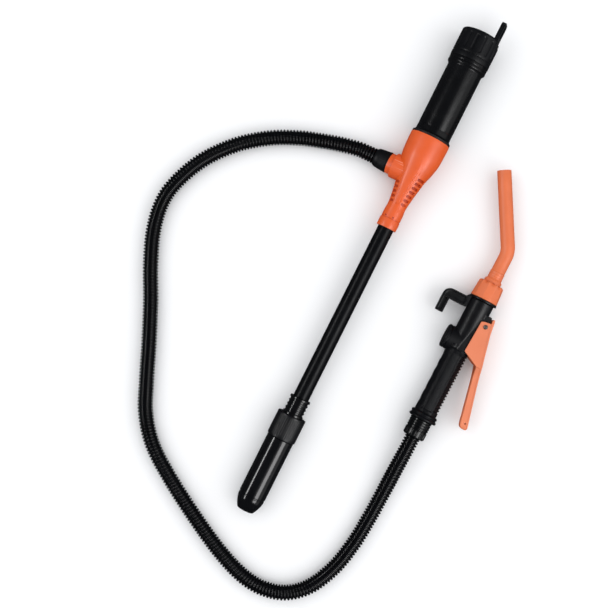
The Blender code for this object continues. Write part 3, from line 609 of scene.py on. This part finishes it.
def make_hose():
    """Corrugated hose: narrow grooves between round-topped rings, with plain closed ends."""
    rows_per_ring = 8
    shares = (0.0, 0.5, 0.9, 1.0, 1.0, 0.9, 0.5, 0.0)
    centres = smooth_curve(HOSE_ROUTE, HOSE_PITCH * MM / rows_per_ring)
    sides = 28
    verts = []
    up = Vector((0, 0, 1))
    for index, centre in enumerate(centres):
        heading = (centres[min(index + 1, len(centres) - 1)]
                   - centres[max(index - 1, 0)]).normalized()
        across = heading.cross(up).normalized()
        above = across.cross(heading)
        share = shares[index % rows_per_ring]
        radius = HOSE_TROUGH_R + (HOSE_R - HOSE_TROUGH_R) * share
        for side in range(sides):
            angle = math.tau * side / sides
            verts.append(centre / MM + radius * (math.cos(angle) * across
                                                 + math.sin(angle) * above))
    tube = mesh_object("hose", verts, bar_faces(sides, len(centres)))
    obj = placed(tube, "hose", Matrix.Scale(MM, 4), 60)


# ---------------------------------------------------------------- the battery end

def cap_shape(station, radius, angle):
    """Round-ended grooves round the cap's skirt."""
    if radius < 24 or not 3 < station < 28.5:
        return radius
    off_middle = abs((angle * CAP_GROOVES / math.tau + 0.5) % 1 - 0.5)
    across = off_middle * math.tau * radius / CAP_GROOVES
    past_end = max(GROOVE_ENDS[0] - station, 0, station - GROOVE_ENDS[1])
    return radius - ramp(GROOVE_HALF - math.hypot(across, past_end), 0.0, 0.9)


def make_cap():
    """Battery cap, its hanging loop and the power button."""
    outline = [(0.0, 24.0), (1.8, CAP_R), (29.3, CAP_R), (29.9, 25.0), (30.7, 25.0),
               (31.2, CAP_R), (CAP_END, CAP_R), (CAP_END, 24.0), (34.2, 24.0), (34.2, 21.9),
               (10.0, 21.9), (10.0, 9.8), (2.6, 9.8), (2.6, 6.3), (0.0, 6.3), (0.0, 9.0),
               (0.5, 9.4), (0.5, 10.6), (0.0, 11.0)]
    outline = refined(rounded(outline, 0.8), 2.5, 29.0, 0.5)
    cap = turned("cap", outline, FINE, cap_shape)
    cut(cap, block("notch", (16.4, 30.0), (-1.0, 7.7), (-10.8, 10.8)))
    placed(cap, "battery_cap", PUMP)

    loop = plate("loop", (16.7, 21.9), slot_outline(-7.4, 24.5, 10.5, 4.5))
    cut(loop, plate("eye", (10.0, 30.0), slot_outline(4.5, 19.5, 5.5, 5.4)))
    placed(bevelled(loop, 0.9), "hanging_loop", PUMP)

    dished = [(-1.1, 0), (-1.1, 1.2), (-1.3, 2.4), (-1.8, 3.8), (-1.8, 5.2), (-1.0, 6.0),
              (2.9, 6.0), (2.9, 8.5), (3.9, 8.5), (3.9, 2.0), (5.2, 2.0), (5.2, 0)]
    placed(turned("button", rounded(dished, 0.4), 96), "power_button", PUMP)


def neck_shape(station, radius, angle):
    """Right-hand thread on the neck, which runs out at both ends."""
    if not 15.5 < station < 36 or not 21 < radius < 22:
        return radius
    phase = abs((station / THREAD_PITCH + angle / math.tau) % 1 - 0.5) * 2
    held = band(station, 15.5, 18.5, 30.0, 33.0)
    return THREAD_ROOT_R + THREAD_HEIGHT * held * ramp(phase, 0.45, 0.8)


def make_battery_tube():
    """Battery tube with its threaded neck, and the seal ring before the housing."""
    outline = [(14.0, 20.6), (14.6, 21.3), (37.4, 21.3), (37.4, 25.2), (40.6, 25.2),
               (41.0, 24.8), (42.0, 24.8), (42.4, 25.2), (45.0, 25.2), (48.2, 22.8),
               (130.6, 22.8), (130.9, 22.5), (131.6, 22.5), (131.9, 22.8), (138.2, 22.8),
               (140.2, 24.4), (140.2, 22.3), (152.0, 22.3), (152.0, 3.0), (149.5, 3.0),
               (149.5, 18.0), (14.0, 18.0)]
    outline = refined(rounded(outline, 0.5), 14.6, 37.0, 0.4)
    placed(turned("tube", outline, SIDES, neck_shape), "battery_tube", PUMP)
    ring = [(140.5, 22.7), (140.5, 25.1), (141.1, CAP_R), (142.7, CAP_R), (143.3, 25.1),
            (143.3, 22.7)]
    placed(turned("ring", rounded(ring, 0.4)), "tube_seal_ring", PUMP)


# ---------------------------------------------------------------- the orange housing

HOUSING_PROFILE = ((143.6, 25.3), (144.3, 25.75), (150.0, 25.75), (160.0, 25.5), (171.0, 24.8),
                   (182.0, 22.7), (196.0, 19.1), (209.5, 16.5), (222.0, 14.4), (235.0, 12.7),
                   (245.0, 12.55), (254.6, 12.6))


def profile_radius(station):
    """Smooth curve through the housing's profile."""
    points = [HOUSING_PROFILE[0], *HOUSING_PROFILE, HOUSING_PROFILE[-1]]
    for before, start, end, after in zip(points, points[1:], points[2:], points[3:]):
        if station <= end[0]:
            width = end[0] - start[0]
            t = (station - start[0]) / width
            slope = [(b[1] - a[1]) / max(b[0] - a[0], TINY) * width
                     for a, b in ((before, end), (start, after))]
            return ((2 * t ** 3 - 3 * t ** 2 + 1) * start[1] + (t ** 3 - 2 * t ** 2 + t) * slope[0]
                    + (3 * t ** 2 - 2 * t ** 3) * end[1] + (t ** 3 - t ** 2) * slope[1])
    return HOUSING_PROFILE[-1][1]


def housing_shape(station, radius, angle):
    """A long raised spear and a lowered flank on each side of it, on both faces."""
    if radius < 10 or not 170 < station < 254:
        return radius
    angle = off_centre(angle)
    if abs(angle) > math.pi / 2:
        angle = math.copysign(math.pi, angle) - angle
    arc = abs(angle) * radius
    result = radius

    tip_share = ramp(station, 176.0, 214.0)
    half = 9.0 - 6.2 * ramp(station, 176.0, 232.0)
    if station > SPEAR_TIP - half:
        inside = half ** 2 - (station - SPEAR_TIP + half) ** 2
        half = math.sqrt(inside) if inside > 0 else -1.0
    result += SPEAR_HEIGHT * tip_share * ramp(half - arc, -0.35, 0.4)

    crease = math.radians(32.0 - 9.0 * ramp(station, 190.0, 234.0))
    fade = band(station, 184.0, 196.0, 238.0, 246.0)
    result -= FLANK_DROP * fade * ramp((abs(angle) - crease) * radius, -0.2, 0.35)
    return result


def vent(index, flank, side):
    """Tool for one round-ended slot across a flank (1 or -1) of one shell (side 1 or -1)."""
    share = index / (VENT_COUNT - 1)
    middle = VENT_START + VENT_PITCH * index
    surface = profile_radius(middle) - FLANK_DROP
    floor_r = surface - 2.4 + 1.3 * share
    low, high = math.radians(37.0 - 11.0 * share), math.radians(84.0 - 18.0 * share)
    reach = (high - low) * surface
    alongs = [0.0, 0.15, 0.6, VENT_HALF]
    alongs += [VENT_HALF + (reach - 2 * VENT_HALF) * step / 8 for step in range(1, 9)]
    alongs += [reach - 0.5, reach - 0.15, reach]
    verts = []
    for along in alongs:
        from_end = min(along, reach - along, VENT_HALF)
        wide = max(0.35, math.sqrt(VENT_HALF ** 2 - (VENT_HALF - from_end) ** 2))
        angle = low + along / surface
        across, above = flank * math.sin(angle), side * math.cos(angle)
        for radius, station in ((floor_r, middle - wide), (surface + 4, middle - wide),
                                (surface + 4, middle + wide), (floor_r, middle + wide)):
            verts.append((radius * across, -station, radius * above))
    return mesh_object("vent", verts, bar_faces(4, len(alongs)))


def make_housing():
    """The two shells of the housing, with the spigot, vents, screw holes and notches."""
    rows = [(143.6, 25.3), (144.0, 25.65)]
    station = 144.5
    while station < 254.5:
        rows.append((station, profile_radius(station)))
        station += 0.5 if 190 < station < 250 else 1.5
    rows += [(254.6, 12.6), (254.8, 12.2), (255.6, 12.2), (255.9, 12.9), (256.3, 13.05),
             (266.6, 13.05), (267.2, 12.9), (267.5, 12.5)]
    hollow = [(142.6, 0), (142.6, 22.6), (152.3, 22.6), (152.3, 20.5), (154.3, 20.5),
              (154.3, 23.5), (160.0, 23.5), (171.0, 23.0), (182.0, 20.2), (196.0, 15.2),
              (209.5, 12.4), (222.0, 11.2), (236.0, 10.6), (268.5, 10.6), (268.5, 0)]
    for node, side in (("housing_front", 1), ("housing_rear", -1)):
        shell = turned(node, [(rows[0][0], 0)] + rows + [(rows[-1][0], 0)], FINE, housing_shape)
        boss = turned("boss", rounded([(3.0, 0), (3.0, 16.0), (26.4, 16.0), (27.4, 15.2),
                                       (27.4, 13.2), (33.7, 13.0), (33.7, 0)], 0.7), 128, None,
                      (SPIGOT_STATION, 0), "X")
        joined(shell, boss)
        inside = turned("inside", hollow, 96)
        cut(inside, *[rod("post", -26.0, 26.0, 3.6, 32, spot, "Z") for spot in SCREW_SPOTS])
        bore = rod("bore", 2.5, 35.0, 7.6, 64, (SPIGOT_STATION, 0), "X")
        tools = [inside, bore]
        for spot in SCREW_SPOTS:
            tools.append(rod("hole", -13.0, 8.3, 1.7, 24, spot, "Z"))
            tools.append(rod("recess", -27.0, -12.0, 3.0, 32, spot, "Z"))
        for angle in NOTCH_ANGLES:
            notch = block("notch", (-NOTCH_HALF, NOTCH_HALF), (252.2, 254.2), (12.1, 15.0))
            notch.data.transform(Matrix.Rotation(math.radians(angle), 4, "Y"))
            tools.append(notch)
        tools += [vent(index, 1, side) for index in range(VENT_COUNT)]
        tools += [vent(index, -1, side) for index in range(FIRST_LEFT_VENT, VENT_COUNT)]
        low, high = sorted((side * SHELL_GAP, side * -40.0))
        cut(shell, *tools, block("half", (-60, 60), (130, 280), (low, high)))
        placed(shell, node, PUMP, 32)


def make_screws():
    """Cross-recess screws in the rear shell."""
    for index, (x, station) in enumerate(SCREW_SPOTS, start=1):
        outline = [(-14.5, 0), (-14.3, 1.4), (-13.6, 2.3), (-12.3, 2.6), (-12.3, 1.4),
                   (6.5, 1.4), (8.0, 0)]
        screw = turned("screw", rounded(outline, 0.2), 48, None, (x, station), "Z")
        bars = [block("bar", (x - wide, x + wide), (station - deep, station + deep),
                      (-15.0, -13.3)) for wide, deep in ((0.3, 1.6), (1.6, 0.3))]
        placed(cut(screw, *bars, solver="EXACT"), f"housing_screw_{index}", PUMP)


def cuff_shape(distance, radius, angle):
    """Fine lengthwise flutes on the wide half of the cuff."""
    if radius < 11.8 or distance > 46:
        return radius
    wave = 0.5 + 0.5 * math.cos(angle * CUFF_FLUTES)
    return radius - FLUTE_DEPTH * wave * ramp(distance, 36.0, 37.0)


def make_cuff():
    """Tapered cuff of the hose on the spigot."""
    outline = [(34.0, 13.3), (35.8, 13.6), (36.4, 13.2), (48.3, 12.1), (50.5, 11.6),
               (52.9, 10.2), (52.9, 7.7), (34.0, 7.7)]
    outline = refined(rounded(outline, 0.5), 34.5, 50.0, 1.0)
    cuff = turned("cuff", outline, FINE, cuff_shape, (SPIGOT_STATION, 0), "X")
    placed(cuff, "hose_cuff", PUMP)


# ---------------------------------------------------------------- the suction line

def collar_shape(station, radius, angle):
    """Fine lengthwise ribs round the collar."""
    if radius < 18 or not 531.5 < station < 559.5:
        return radius
    held = band(station, 531.5, 533.0, 558.0, 559.5)
    return radius - FLUTE_DEPTH * held * ramp(math.cos(angle * COLLAR_RIBS), -0.2, 0.8)


def make_suction_line():
    """Suction tube, ringed coupling, collar, pump casing and the inlet's strainer."""
    tube = [(236.3, 8.6), (236.3, 10.3), (511.7, 10.3), (511.7, 8.6)]
    placed(turned("tube", refined(rounded(tube, 0.3), 236, 512, 12.0)), "suction_tube", PUMP)

    outline = [(505.3, 11.6), (505.8, 13.5), (508.4, 13.5), (509.0, 11.9)]
    for start in (511.2, 516.2, 521.2):
        outline += [(start, 11.9), (start + 0.5, 12.9), (start + 2.3, 12.9), (start + 2.9, 11.9)]
    outline += [(526.0, 12.0), (527.0, 13.7), (533.6, 13.7), (533.6, 16.0), (537.0, 16.0),
                (537.0, 8.6), (512.0, 8.6), (512.0, 10.6), (505.3, 10.6)]
    placed(turned("coupling", rounded(outline, 0.5)), "tube_coupling", PUMP)

    outline = [(529.3, 18.0), (530.2, 18.75), (560.9, 18.75), (561.5, 18.3), (561.5, 16.3),
               (533.3, 16.3), (533.3, 14.0), (529.3, 14.0)]
    outline = refined(rounded(outline, 0.7), 530.5, 560.5, 0.7)
    placed(turned("collar", outline, FINE, collar_shape), "casing_collar", PUMP)

    outline = [(539.6, 15.6), (540.2, 16.0), (561.8, 16.0), (561.8, 17.0), (562.6, 17.4),
               (641.6, 17.4), (642.2, 16.7), (643.4, 16.7), (644.0, 17.2), (647.0, 16.9),
               (650.5, 16.1), (654.0, 14.9), (657.5, 13.4), (660.5, 11.8), (661.8, 11.1),
               (662.4, 10.4), (662.4, 9.3), (657.5, 9.3), (657.5, 8.0), (655.0, 8.0),
               (653.0, 11.0), (646.0, 14.5), (642.0, 15.9), (564.5, 15.9), (562.3, 13.0),
               (539.6, 13.0)]
    placed(turned("casing", rounded(outline, 0.4)), "pump_casing", PUMP)

    disc = rod("disc", 657.9, 662.1, 9.0, 96, edge=0.3)
    slots = [block("slot", (x - 1.0, x + 1.0), (656.0, 664.0), (-half, half))
             for x, half in ((-5.4, 4.6), (-1.8, 6.8), (1.8, 6.8), (5.4, 4.6))]
    placed(bevelled(cut(disc, *slots, solver="EXACT"), 0.2, 2), "inlet_strainer", PUMP)


# ---------------------------------------------------------------- the trigger nozzle

def make_nozzle_body():
    """Barrel with the valve's boss, the lever's lug, two side domes and the hose tail."""
    outline = [(8.0, 0), (8.0, 13.9), (25.3, 13.9), (25.3, 15.2), (26.0, 15.5), (91.8, 15.5),
               (92.4, 14.9), (92.4, 10.2), (186.0, 10.2), (186.0, 8.0), (203.0, 8.0),
               (203.0, 0)]
    body = turned("body", outline, 128)
    boss = turned("boss", [(2.0, 0), (2.0, 15.5), (17.6, 15.5), (18.4, 15.2), (19.0, 14.6),
                           (19.0, 0)], 128, None, (VALVE_STATION, 0), "X")
    lug = prism("lug", [(38.0, 6.0), (38.0, 18.0), (39.0, 19.0), (57.0, 19.0), (62.0, 14.0),
                        (62.0, 6.0)], -LUG_HALF, LUG_HALF)
    domes = []
    for side in (1, -1):
        dome = rod("dome", 9.0, 15.6, 2.9, 48, (-8.7, 90.0), "Z", edge=2.4)
        dome.data.transform(Matrix.Scale(side, 4, (0, 0, 1)))
        if side < 0:
            dome.data.flip_normals()
        domes.append(dome)
    joined(body, boss, lug, *domes)
    wedge = [(43.5, 30.0), (43.5, 7.2), (94.0, -4.0), (94.0, 30.0)]
    flats = [prism("flat", wedge, *sorted((side * LUG_HALF, side * 20))) for side in (1, -1)]
    cut(body, *flats,
        rod("chamber", -12.5, 20.0, 7.2, 64, (VALVE_STATION, 0), "X"),
        rod("stem_hole", -17.0, -12.0, 2.4, 32, (VALVE_STATION, 0), "X"),
        rod("pin_hole", -15.0, 15.0, PIN_HOLE_R, 32, (PIVOT_OFFSET, PIVOT_STATION), "Z"),
        rod("bore", 7.0, 204.0, 5.5))
    placed(softened(body, 0.45, 4), "nozzle_body", NOZZLE, 60)


def grip_shape(station, radius, angle):
    """Grip: eight soft sides, framed panels of fine ridges, a toothed strip and finger waves."""
    if radius < 13 or station > 181.5:
        return radius
    angle = off_centre(angle)
    facet = off_centre(angle, GRIP_FLATS)
    result = radius * (0.45 + 0.55 * math.cos(math.pi / GRIP_FLATS) / math.cos(facet)) + 0.35
    x = radius * math.sin(angle)
    z = abs(radius * math.cos(angle))
    inside = band(station, 97.5, 98.5, 176.5, 177.5)

    panel = inside * ramp(x, -9.6, -9.0) * (1 - ramp(x, 4.2, 4.8)) * ramp(z, 6.0, 6.4)
    ridge = 0.5 + 0.5 * math.cos(math.tau * x / 1.5)
    result -= panel * (0.75 - 0.2 * ridge)

    result += 0.75 * inside * (1 - ramp(abs(x - 5.4), 0.2, 0.8)) * ramp(z, 6.0, 6.4)

    tooth = ramp(math.cos(math.tau * station / 4.2), -0.35, 0.35)
    result -= 1.5 * inside * ramp(x, 6.6, 7.1) * (1 - tooth)

    wave = math.cos(math.tau * (station - 99.0) / 15.5)
    result -= 0.22 * inside * ramp(-x, 8.5, 13.0) * (1 - wave)
    return result


def make_grip():
    """Grip sleeve with its end flange, cut free of the flats and the valve's boss."""
    outline = [(92.7, 14.2), (93.6, 14.8), (181.2, 14.8), (182.0, 16.6), (183.4, 17.6),
               (185.0, 17.0), (186.0, 16.4), (187.0, 17.4), (188.4, 18.3), (189.8, 18.1),
               (190.7, 16.6), (190.7, 10.5), (92.7, 10.5)]
    outline = refined(rounded(outline, 0.5), 93.5, 181.0, 0.45)
    grip = turned("grip", outline, FINE, grip_shape)
    reliefs = [block("relief", (2.0, 20.0), (90.0, 99.0), sorted((side * LUG_HALF, side * 20)))
               for side in (1, -1)]
    saddle = rod("saddle", 4.7, 20.0, 15.8, 128, (VALVE_STATION, 0), "X")
    cut(grip, *reliefs, saddle)
    placed(grip, "handle_grip", NOZZLE, 40)


def nut_shape(station, radius, angle):
    """Lengthwise notches round the rear skirt of the hose nut."""
    if radius < 13 or not 205 < station < 213.5:
        return radius
    held = band(station, 206.0, 207.0, 212.0, 213.0)
    return radius - 0.7 * held * ramp(math.cos(angle * HOSE_NUT_NOTCHES), 0.2, 0.9)


def make_hose_nut():
    """Ribbed nut that holds the hose on the nozzle's tail."""
    outline = [(191.0, 13.2)]
    for start in (191.4, 194.6, 197.8):
        outline += [(start, 14.2), (start + 1.9, 14.2), (start + 2.2, 13.3), (start + 2.9, 13.3)]
    outline += [(201.2, 14.2), (202.8, 14.2), (203.3, 13.2), (204.5, 13.2), (205.1, 14.2),
                (213.4, 14.2), (215.0, 12.6), (215.0, 8.4), (191.0, 8.4)]
    outline = refined(rounded(outline, 0.4), 205.0, 213.6, 0.5)
    placed(turned("nut", outline, FINE, nut_shape), "hose_nut", NOZZLE)


def make_hook():
    """Ring round the barrel with the pocketed arm and finger of the hook."""
    ring = turned("ring", [(22.4, 14.2), (22.4, 17.9), (22.8, 18.3), (24.6, 18.3), (25.0, 17.9),
                           (25.0, 14.2)], 160)
    corner, corner_r = (36.2, -40.2), 9.0
    arc = [(corner[0] - corner_r * math.cos(math.pi / 2 * step / 10),
            corner[1] - corner_r * math.sin(math.pi / 2 * step / 10)) for step in range(11)]
    arm = prism("arm", [(22.5, -15.6), (22.5, -17.8), (27.2, -21.5)] + arc
                + [(58.6, -49.2), (59.6, -48.2), (59.6, -39.3), (40.2, -39.3), (40.2, -15.9)],
                -6.0, 6.0)
    pockets = []
    for side in (1, -1):
        low, high = sorted((side * 2.2, side * 8.0))
        pockets.append(prism("pocket", [(29.4, -20.0), (29.4, -40.6), (31.6, -44.8),
                                        (35.8, -47.0), (38.0, -47.0), (38.0, -20.0)],
                             low, high))
        pockets.append(block("pocket", (-47.0, -41.5), (40.0, 57.4), (low, high)))
    cut(arm, *pockets)
    joined(ring, arm)
    placed(softened(ring, 0.4, 4), "hook_bracket", NOZZLE, 60)


def valve_cap_shape(distance, radius, angle):
    """Coin-edge notches round the valve cap."""
    if radius < 15 or not 19.8 < distance < 22.6:
        return radius
    return radius - 0.45 * ramp(math.cos(angle * VALVE_CAP_NOTCHES), 0.1, 0.8)


def make_valve_cap():
    """Round cap of the valve's boss, with a coin slot."""
    outline = [(15.0, 6.0), (15.0, 6.8), (19.3, 6.8), (19.3, 15.5), (22.4, 15.5), (23.6, 14.2),
               (23.6, 9.0), (23.0, 8.4), (23.0, 0), (21.6, 0), (21.6, 6.0)]
    outline = refined(rounded(outline, 0.4), 19.4, 22.5, 0.5)
    cap = turned("valve_cap", outline, FINE, valve_cap_shape, (VALVE_STATION, 0), "X")
    slot = block("slot", (-24.5, -22.5), (VALVE_STATION - 5.5, VALVE_STATION + 5.5),
                 (-0.8, 0.8))
    placed(cut(cap, slot, solver="EXACT"), "valve_cap", NOZZLE)


def make_spout():
    """Bent tube with fine rings near its collar, swept along its centre line."""
    straight, reach, blend = 45.0, 103.0, 8.0
    wall_r, bore_r = 8.9, 7.0
    bend_steps, sides = 20, 96
    forward, up = Vector((0, 1, 0)), Vector((0, 0, 1))
    after = Vector((-math.sin(SPOUT_BEND), math.cos(SPOUT_BEND), 0))
    corner = Vector((0, straight, 0))
    turn_r = blend / math.tan(SPOUT_BEND / 2)
    centre = corner - forward * blend + Vector((-turn_r, 0, 0))
    base = [(5.4, 13.8), (3.5, 13.8), (3.5, 11.3), (-4.6, 11.3), (-5.4, 10.9), (-6.0, 9.9),
            (-7.0, 9.4)]
    for station in (-8.2, -11.4, -14.6):
        base += [(station, 9.3), (station - 0.4, 9.6), (station - 1.0, 9.6),
                 (station - 1.4, 9.25)]
    base += [(-17.5, wall_r), (-26.0, wall_r)]
    path = [(Vector((0, -station, 0)), forward, radius) for station, radius in base]
    bend = []
    for step in range(bend_steps + 1):
        angle = SPOUT_BEND * step / bend_steps
        outward = Vector((math.cos(angle), math.sin(angle), 0))
        heading = Vector((-math.sin(angle), math.cos(angle), 0))
        bend.append((centre + outward * turn_r, heading))
    path += [(point, heading, wall_r) for point, heading in bend]
    for share in (0.2, 0.4, 0.6, 0.8):
        path.append((corner + after * (blend + (reach - blend) * share), after, wall_r))
    path.append((corner + after * (reach - 0.6), after, wall_r))
    path.append((corner + after * (reach - 0.15), after, wall_r - 0.2))
    path.append((corner + after * reach, after, wall_r - 0.6))
    path.append((corner + after * reach, after, bore_r + 0.3))
    path.append((corner + after * (reach - 0.4), after, bore_r))
    path += [(point, heading, bore_r) for point, heading in reversed(bend)]
    path.append((path[0][0], forward, bore_r))
    verts = []
    for point, heading, radius in path:
        across = heading.cross(up)
        for side in range(sides):
            angle = math.tau * side / sides
            verts.append(point + radius * (math.cos(angle) * across + math.sin(angle) * up))
    rows = len(path)
    faces = [face for row in range(rows) for face in strip(sides, row, (row + 1) % rows)]
    placed(mesh_object("spout", verts, faces), "spout", NOZZLE)


def spout_nut_shape(station, radius, angle):
    """Soft flats, each with a scallop at the front edge."""
    if radius < 15 or station < -0.9:
        return radius
    facet, half = off_centre(angle, SPOUT_NUT_FLATS), math.pi / SPOUT_NUT_FLATS
    flat = radius * math.cos(half) / math.cos(facet)
    held = 1 - ramp(station, 19.0, 21.0)
    share = 0.75 * held
    dip = 1.6 * ramp(1.0 - abs(facet) / half, 0.1, 0.9) * (1 - ramp(station, 0.5, 3.5))
    return radius * (1 - share) + flat * share - dip + 0.2 * held


def make_spout_nut():
    """Nut that holds the spout on the barrel."""
    outline = [(-1.0, 14.4), (-0.4, 15.2), (0.6, 16.2), (20.4, 17.7), (21.0, 17.8),
               (21.8, 17.7), (22.1, 17.2), (22.1, 14.3), (3.2, 14.3), (3.2, 11.8),
               (-1.0, 11.8)]
    outline = refined(rounded(outline, 0.5), 0.4, 21.0, 0.5)
    placed(turned("nut", outline, FINE, spout_nut_shape), "spout_nut", NOZZLE)


def make_lever():
    """Channel-shaped lever: deep cheeks round the barrel and a long arm with a curled tip, and
    the pin it turns on.
    """
    half, wall = 14.2, 2.0
    head = [(39.0, 22.6), (40.5, 21.4), (45.3, 20.9), (46.4, 12.5), (47.9, 8.4), (89.0, 6.6),
            (90.6, 7.2), (101.0, 28.3), (101.0, 35.8), (59.5, 25.9)]
    arm = [(92.0, 24.5, 33.6, half), (98.0, 27.6, 35.1, half), (103.0, 28.7, 36.3, 12.6),
           (109.0, 30.1, 37.9, 10.0), (116.0, 31.6, 39.7, 8.3), (124.0, 33.4, 41.7, 7.5),
           (172.0, 43.9, 54.1, 6.9), (175.4, 44.9, 55.0, 6.6), (177.2, 46.4, 54.6, 5.6),
           (178.2, 48.6, 53.0, 4.2)]
    inside = [(30.0, 18.3), (44.0, 20.2), (59.7, 23.8), (99.0, 33.2), (99.0, 20.0),
              (90.0, 0.0), (42.0, 0.0)]
    trough = [(96.0, 10.0, 32.6, half - wall), (103.0, 10.0, 34.2, 10.6),
              (109.0, 10.0, 35.8, 8.0), (116.0, 10.0, 37.6, 6.3), (124.0, 10.0, 39.6, 5.5),
              (172.0, 10.0, 51.8, 4.9), (174.6, 10.0, 52.4, 4.4)]
    bead = [(station, high - 1.5, high + 0.35, wide + 0.75) for station, _, high, wide in arm]
    hood = prism("hood", [(39.0, 21.5), (41.5, 20.4), (60.0, 24.2), (93.5, 32.2), (93.5, 34.3),
                          (59.5, 26.3), (42.0, 23.8), (39.3, 23.0)], -half - 0.75, half + 0.75)
    lever = prism("lever", head, -half, half)
    joined(lever, channel("arm", arm), channel("bead", bead[:-2]), hood, solver="EXACT")
    cut(lever, prism("inside", inside, wall - half, half - wall), channel("trough", trough),
        rod("pin_hole", -20.0, 20.0, PIN_HOLE_R, 32, (PIVOT_OFFSET, PIVOT_STATION), "Z"),
        rod("tip_hole", -20.0, 20.0, 1.1, 24, (49.8, 170.6), "Z"), solver="EXACT")
    joined(lever, block("presser", (23.1, 30.3), (80.5, 85.5),
                        (wall - half - 1, half - wall + 1)), solver="EXACT")
    placed(softened(lever, 0.42, 3), "trigger_lever", NOZZLE, 60)

    outline = [(-15.4, 0), (-15.4, 0.9), (-15.0, 1.4), (-15.4, 1.9), (-15.4, 2.5), (-15.1, 2.8),
               (-14.5, 2.8), (-14.5, 2.0), (14.5, 2.0), (14.5, 2.8), (15.1, 2.8), (15.4, 2.5),
               (15.4, 1.9), (15.0, 1.4), (15.4, 0.9), (15.4, 0)]
    pin = turned("pin", rounded(outline, 0.15), 64, None, (PIVOT_OFFSET, PIVOT_STATION), "Z")
    placed(pin, "trigger_pin", NOZZLE)


def finish_hidden_parts():
    """The CAD solids inside the pump and the nozzle keep their shape and get a finish."""
    for node, obj in frame["nodes"].items():
        if obj.hide_render:
            continue
        obj.data.materials.clear()
        obj.data.materials.append(finishes[slot_of[node]])


make_camera()
finishes = make_finishes()
make_stage()
make_hose()
make_cap()
make_battery_tube()
make_housing()
make_screws()
make_cuff()
make_suction_line()
make_nozzle_body()
make_grip()
make_hose_nut()
make_hook()
make_valve_cap()
make_spout()
make_spout_nut()
make_lever()
finish_hidden_parts()
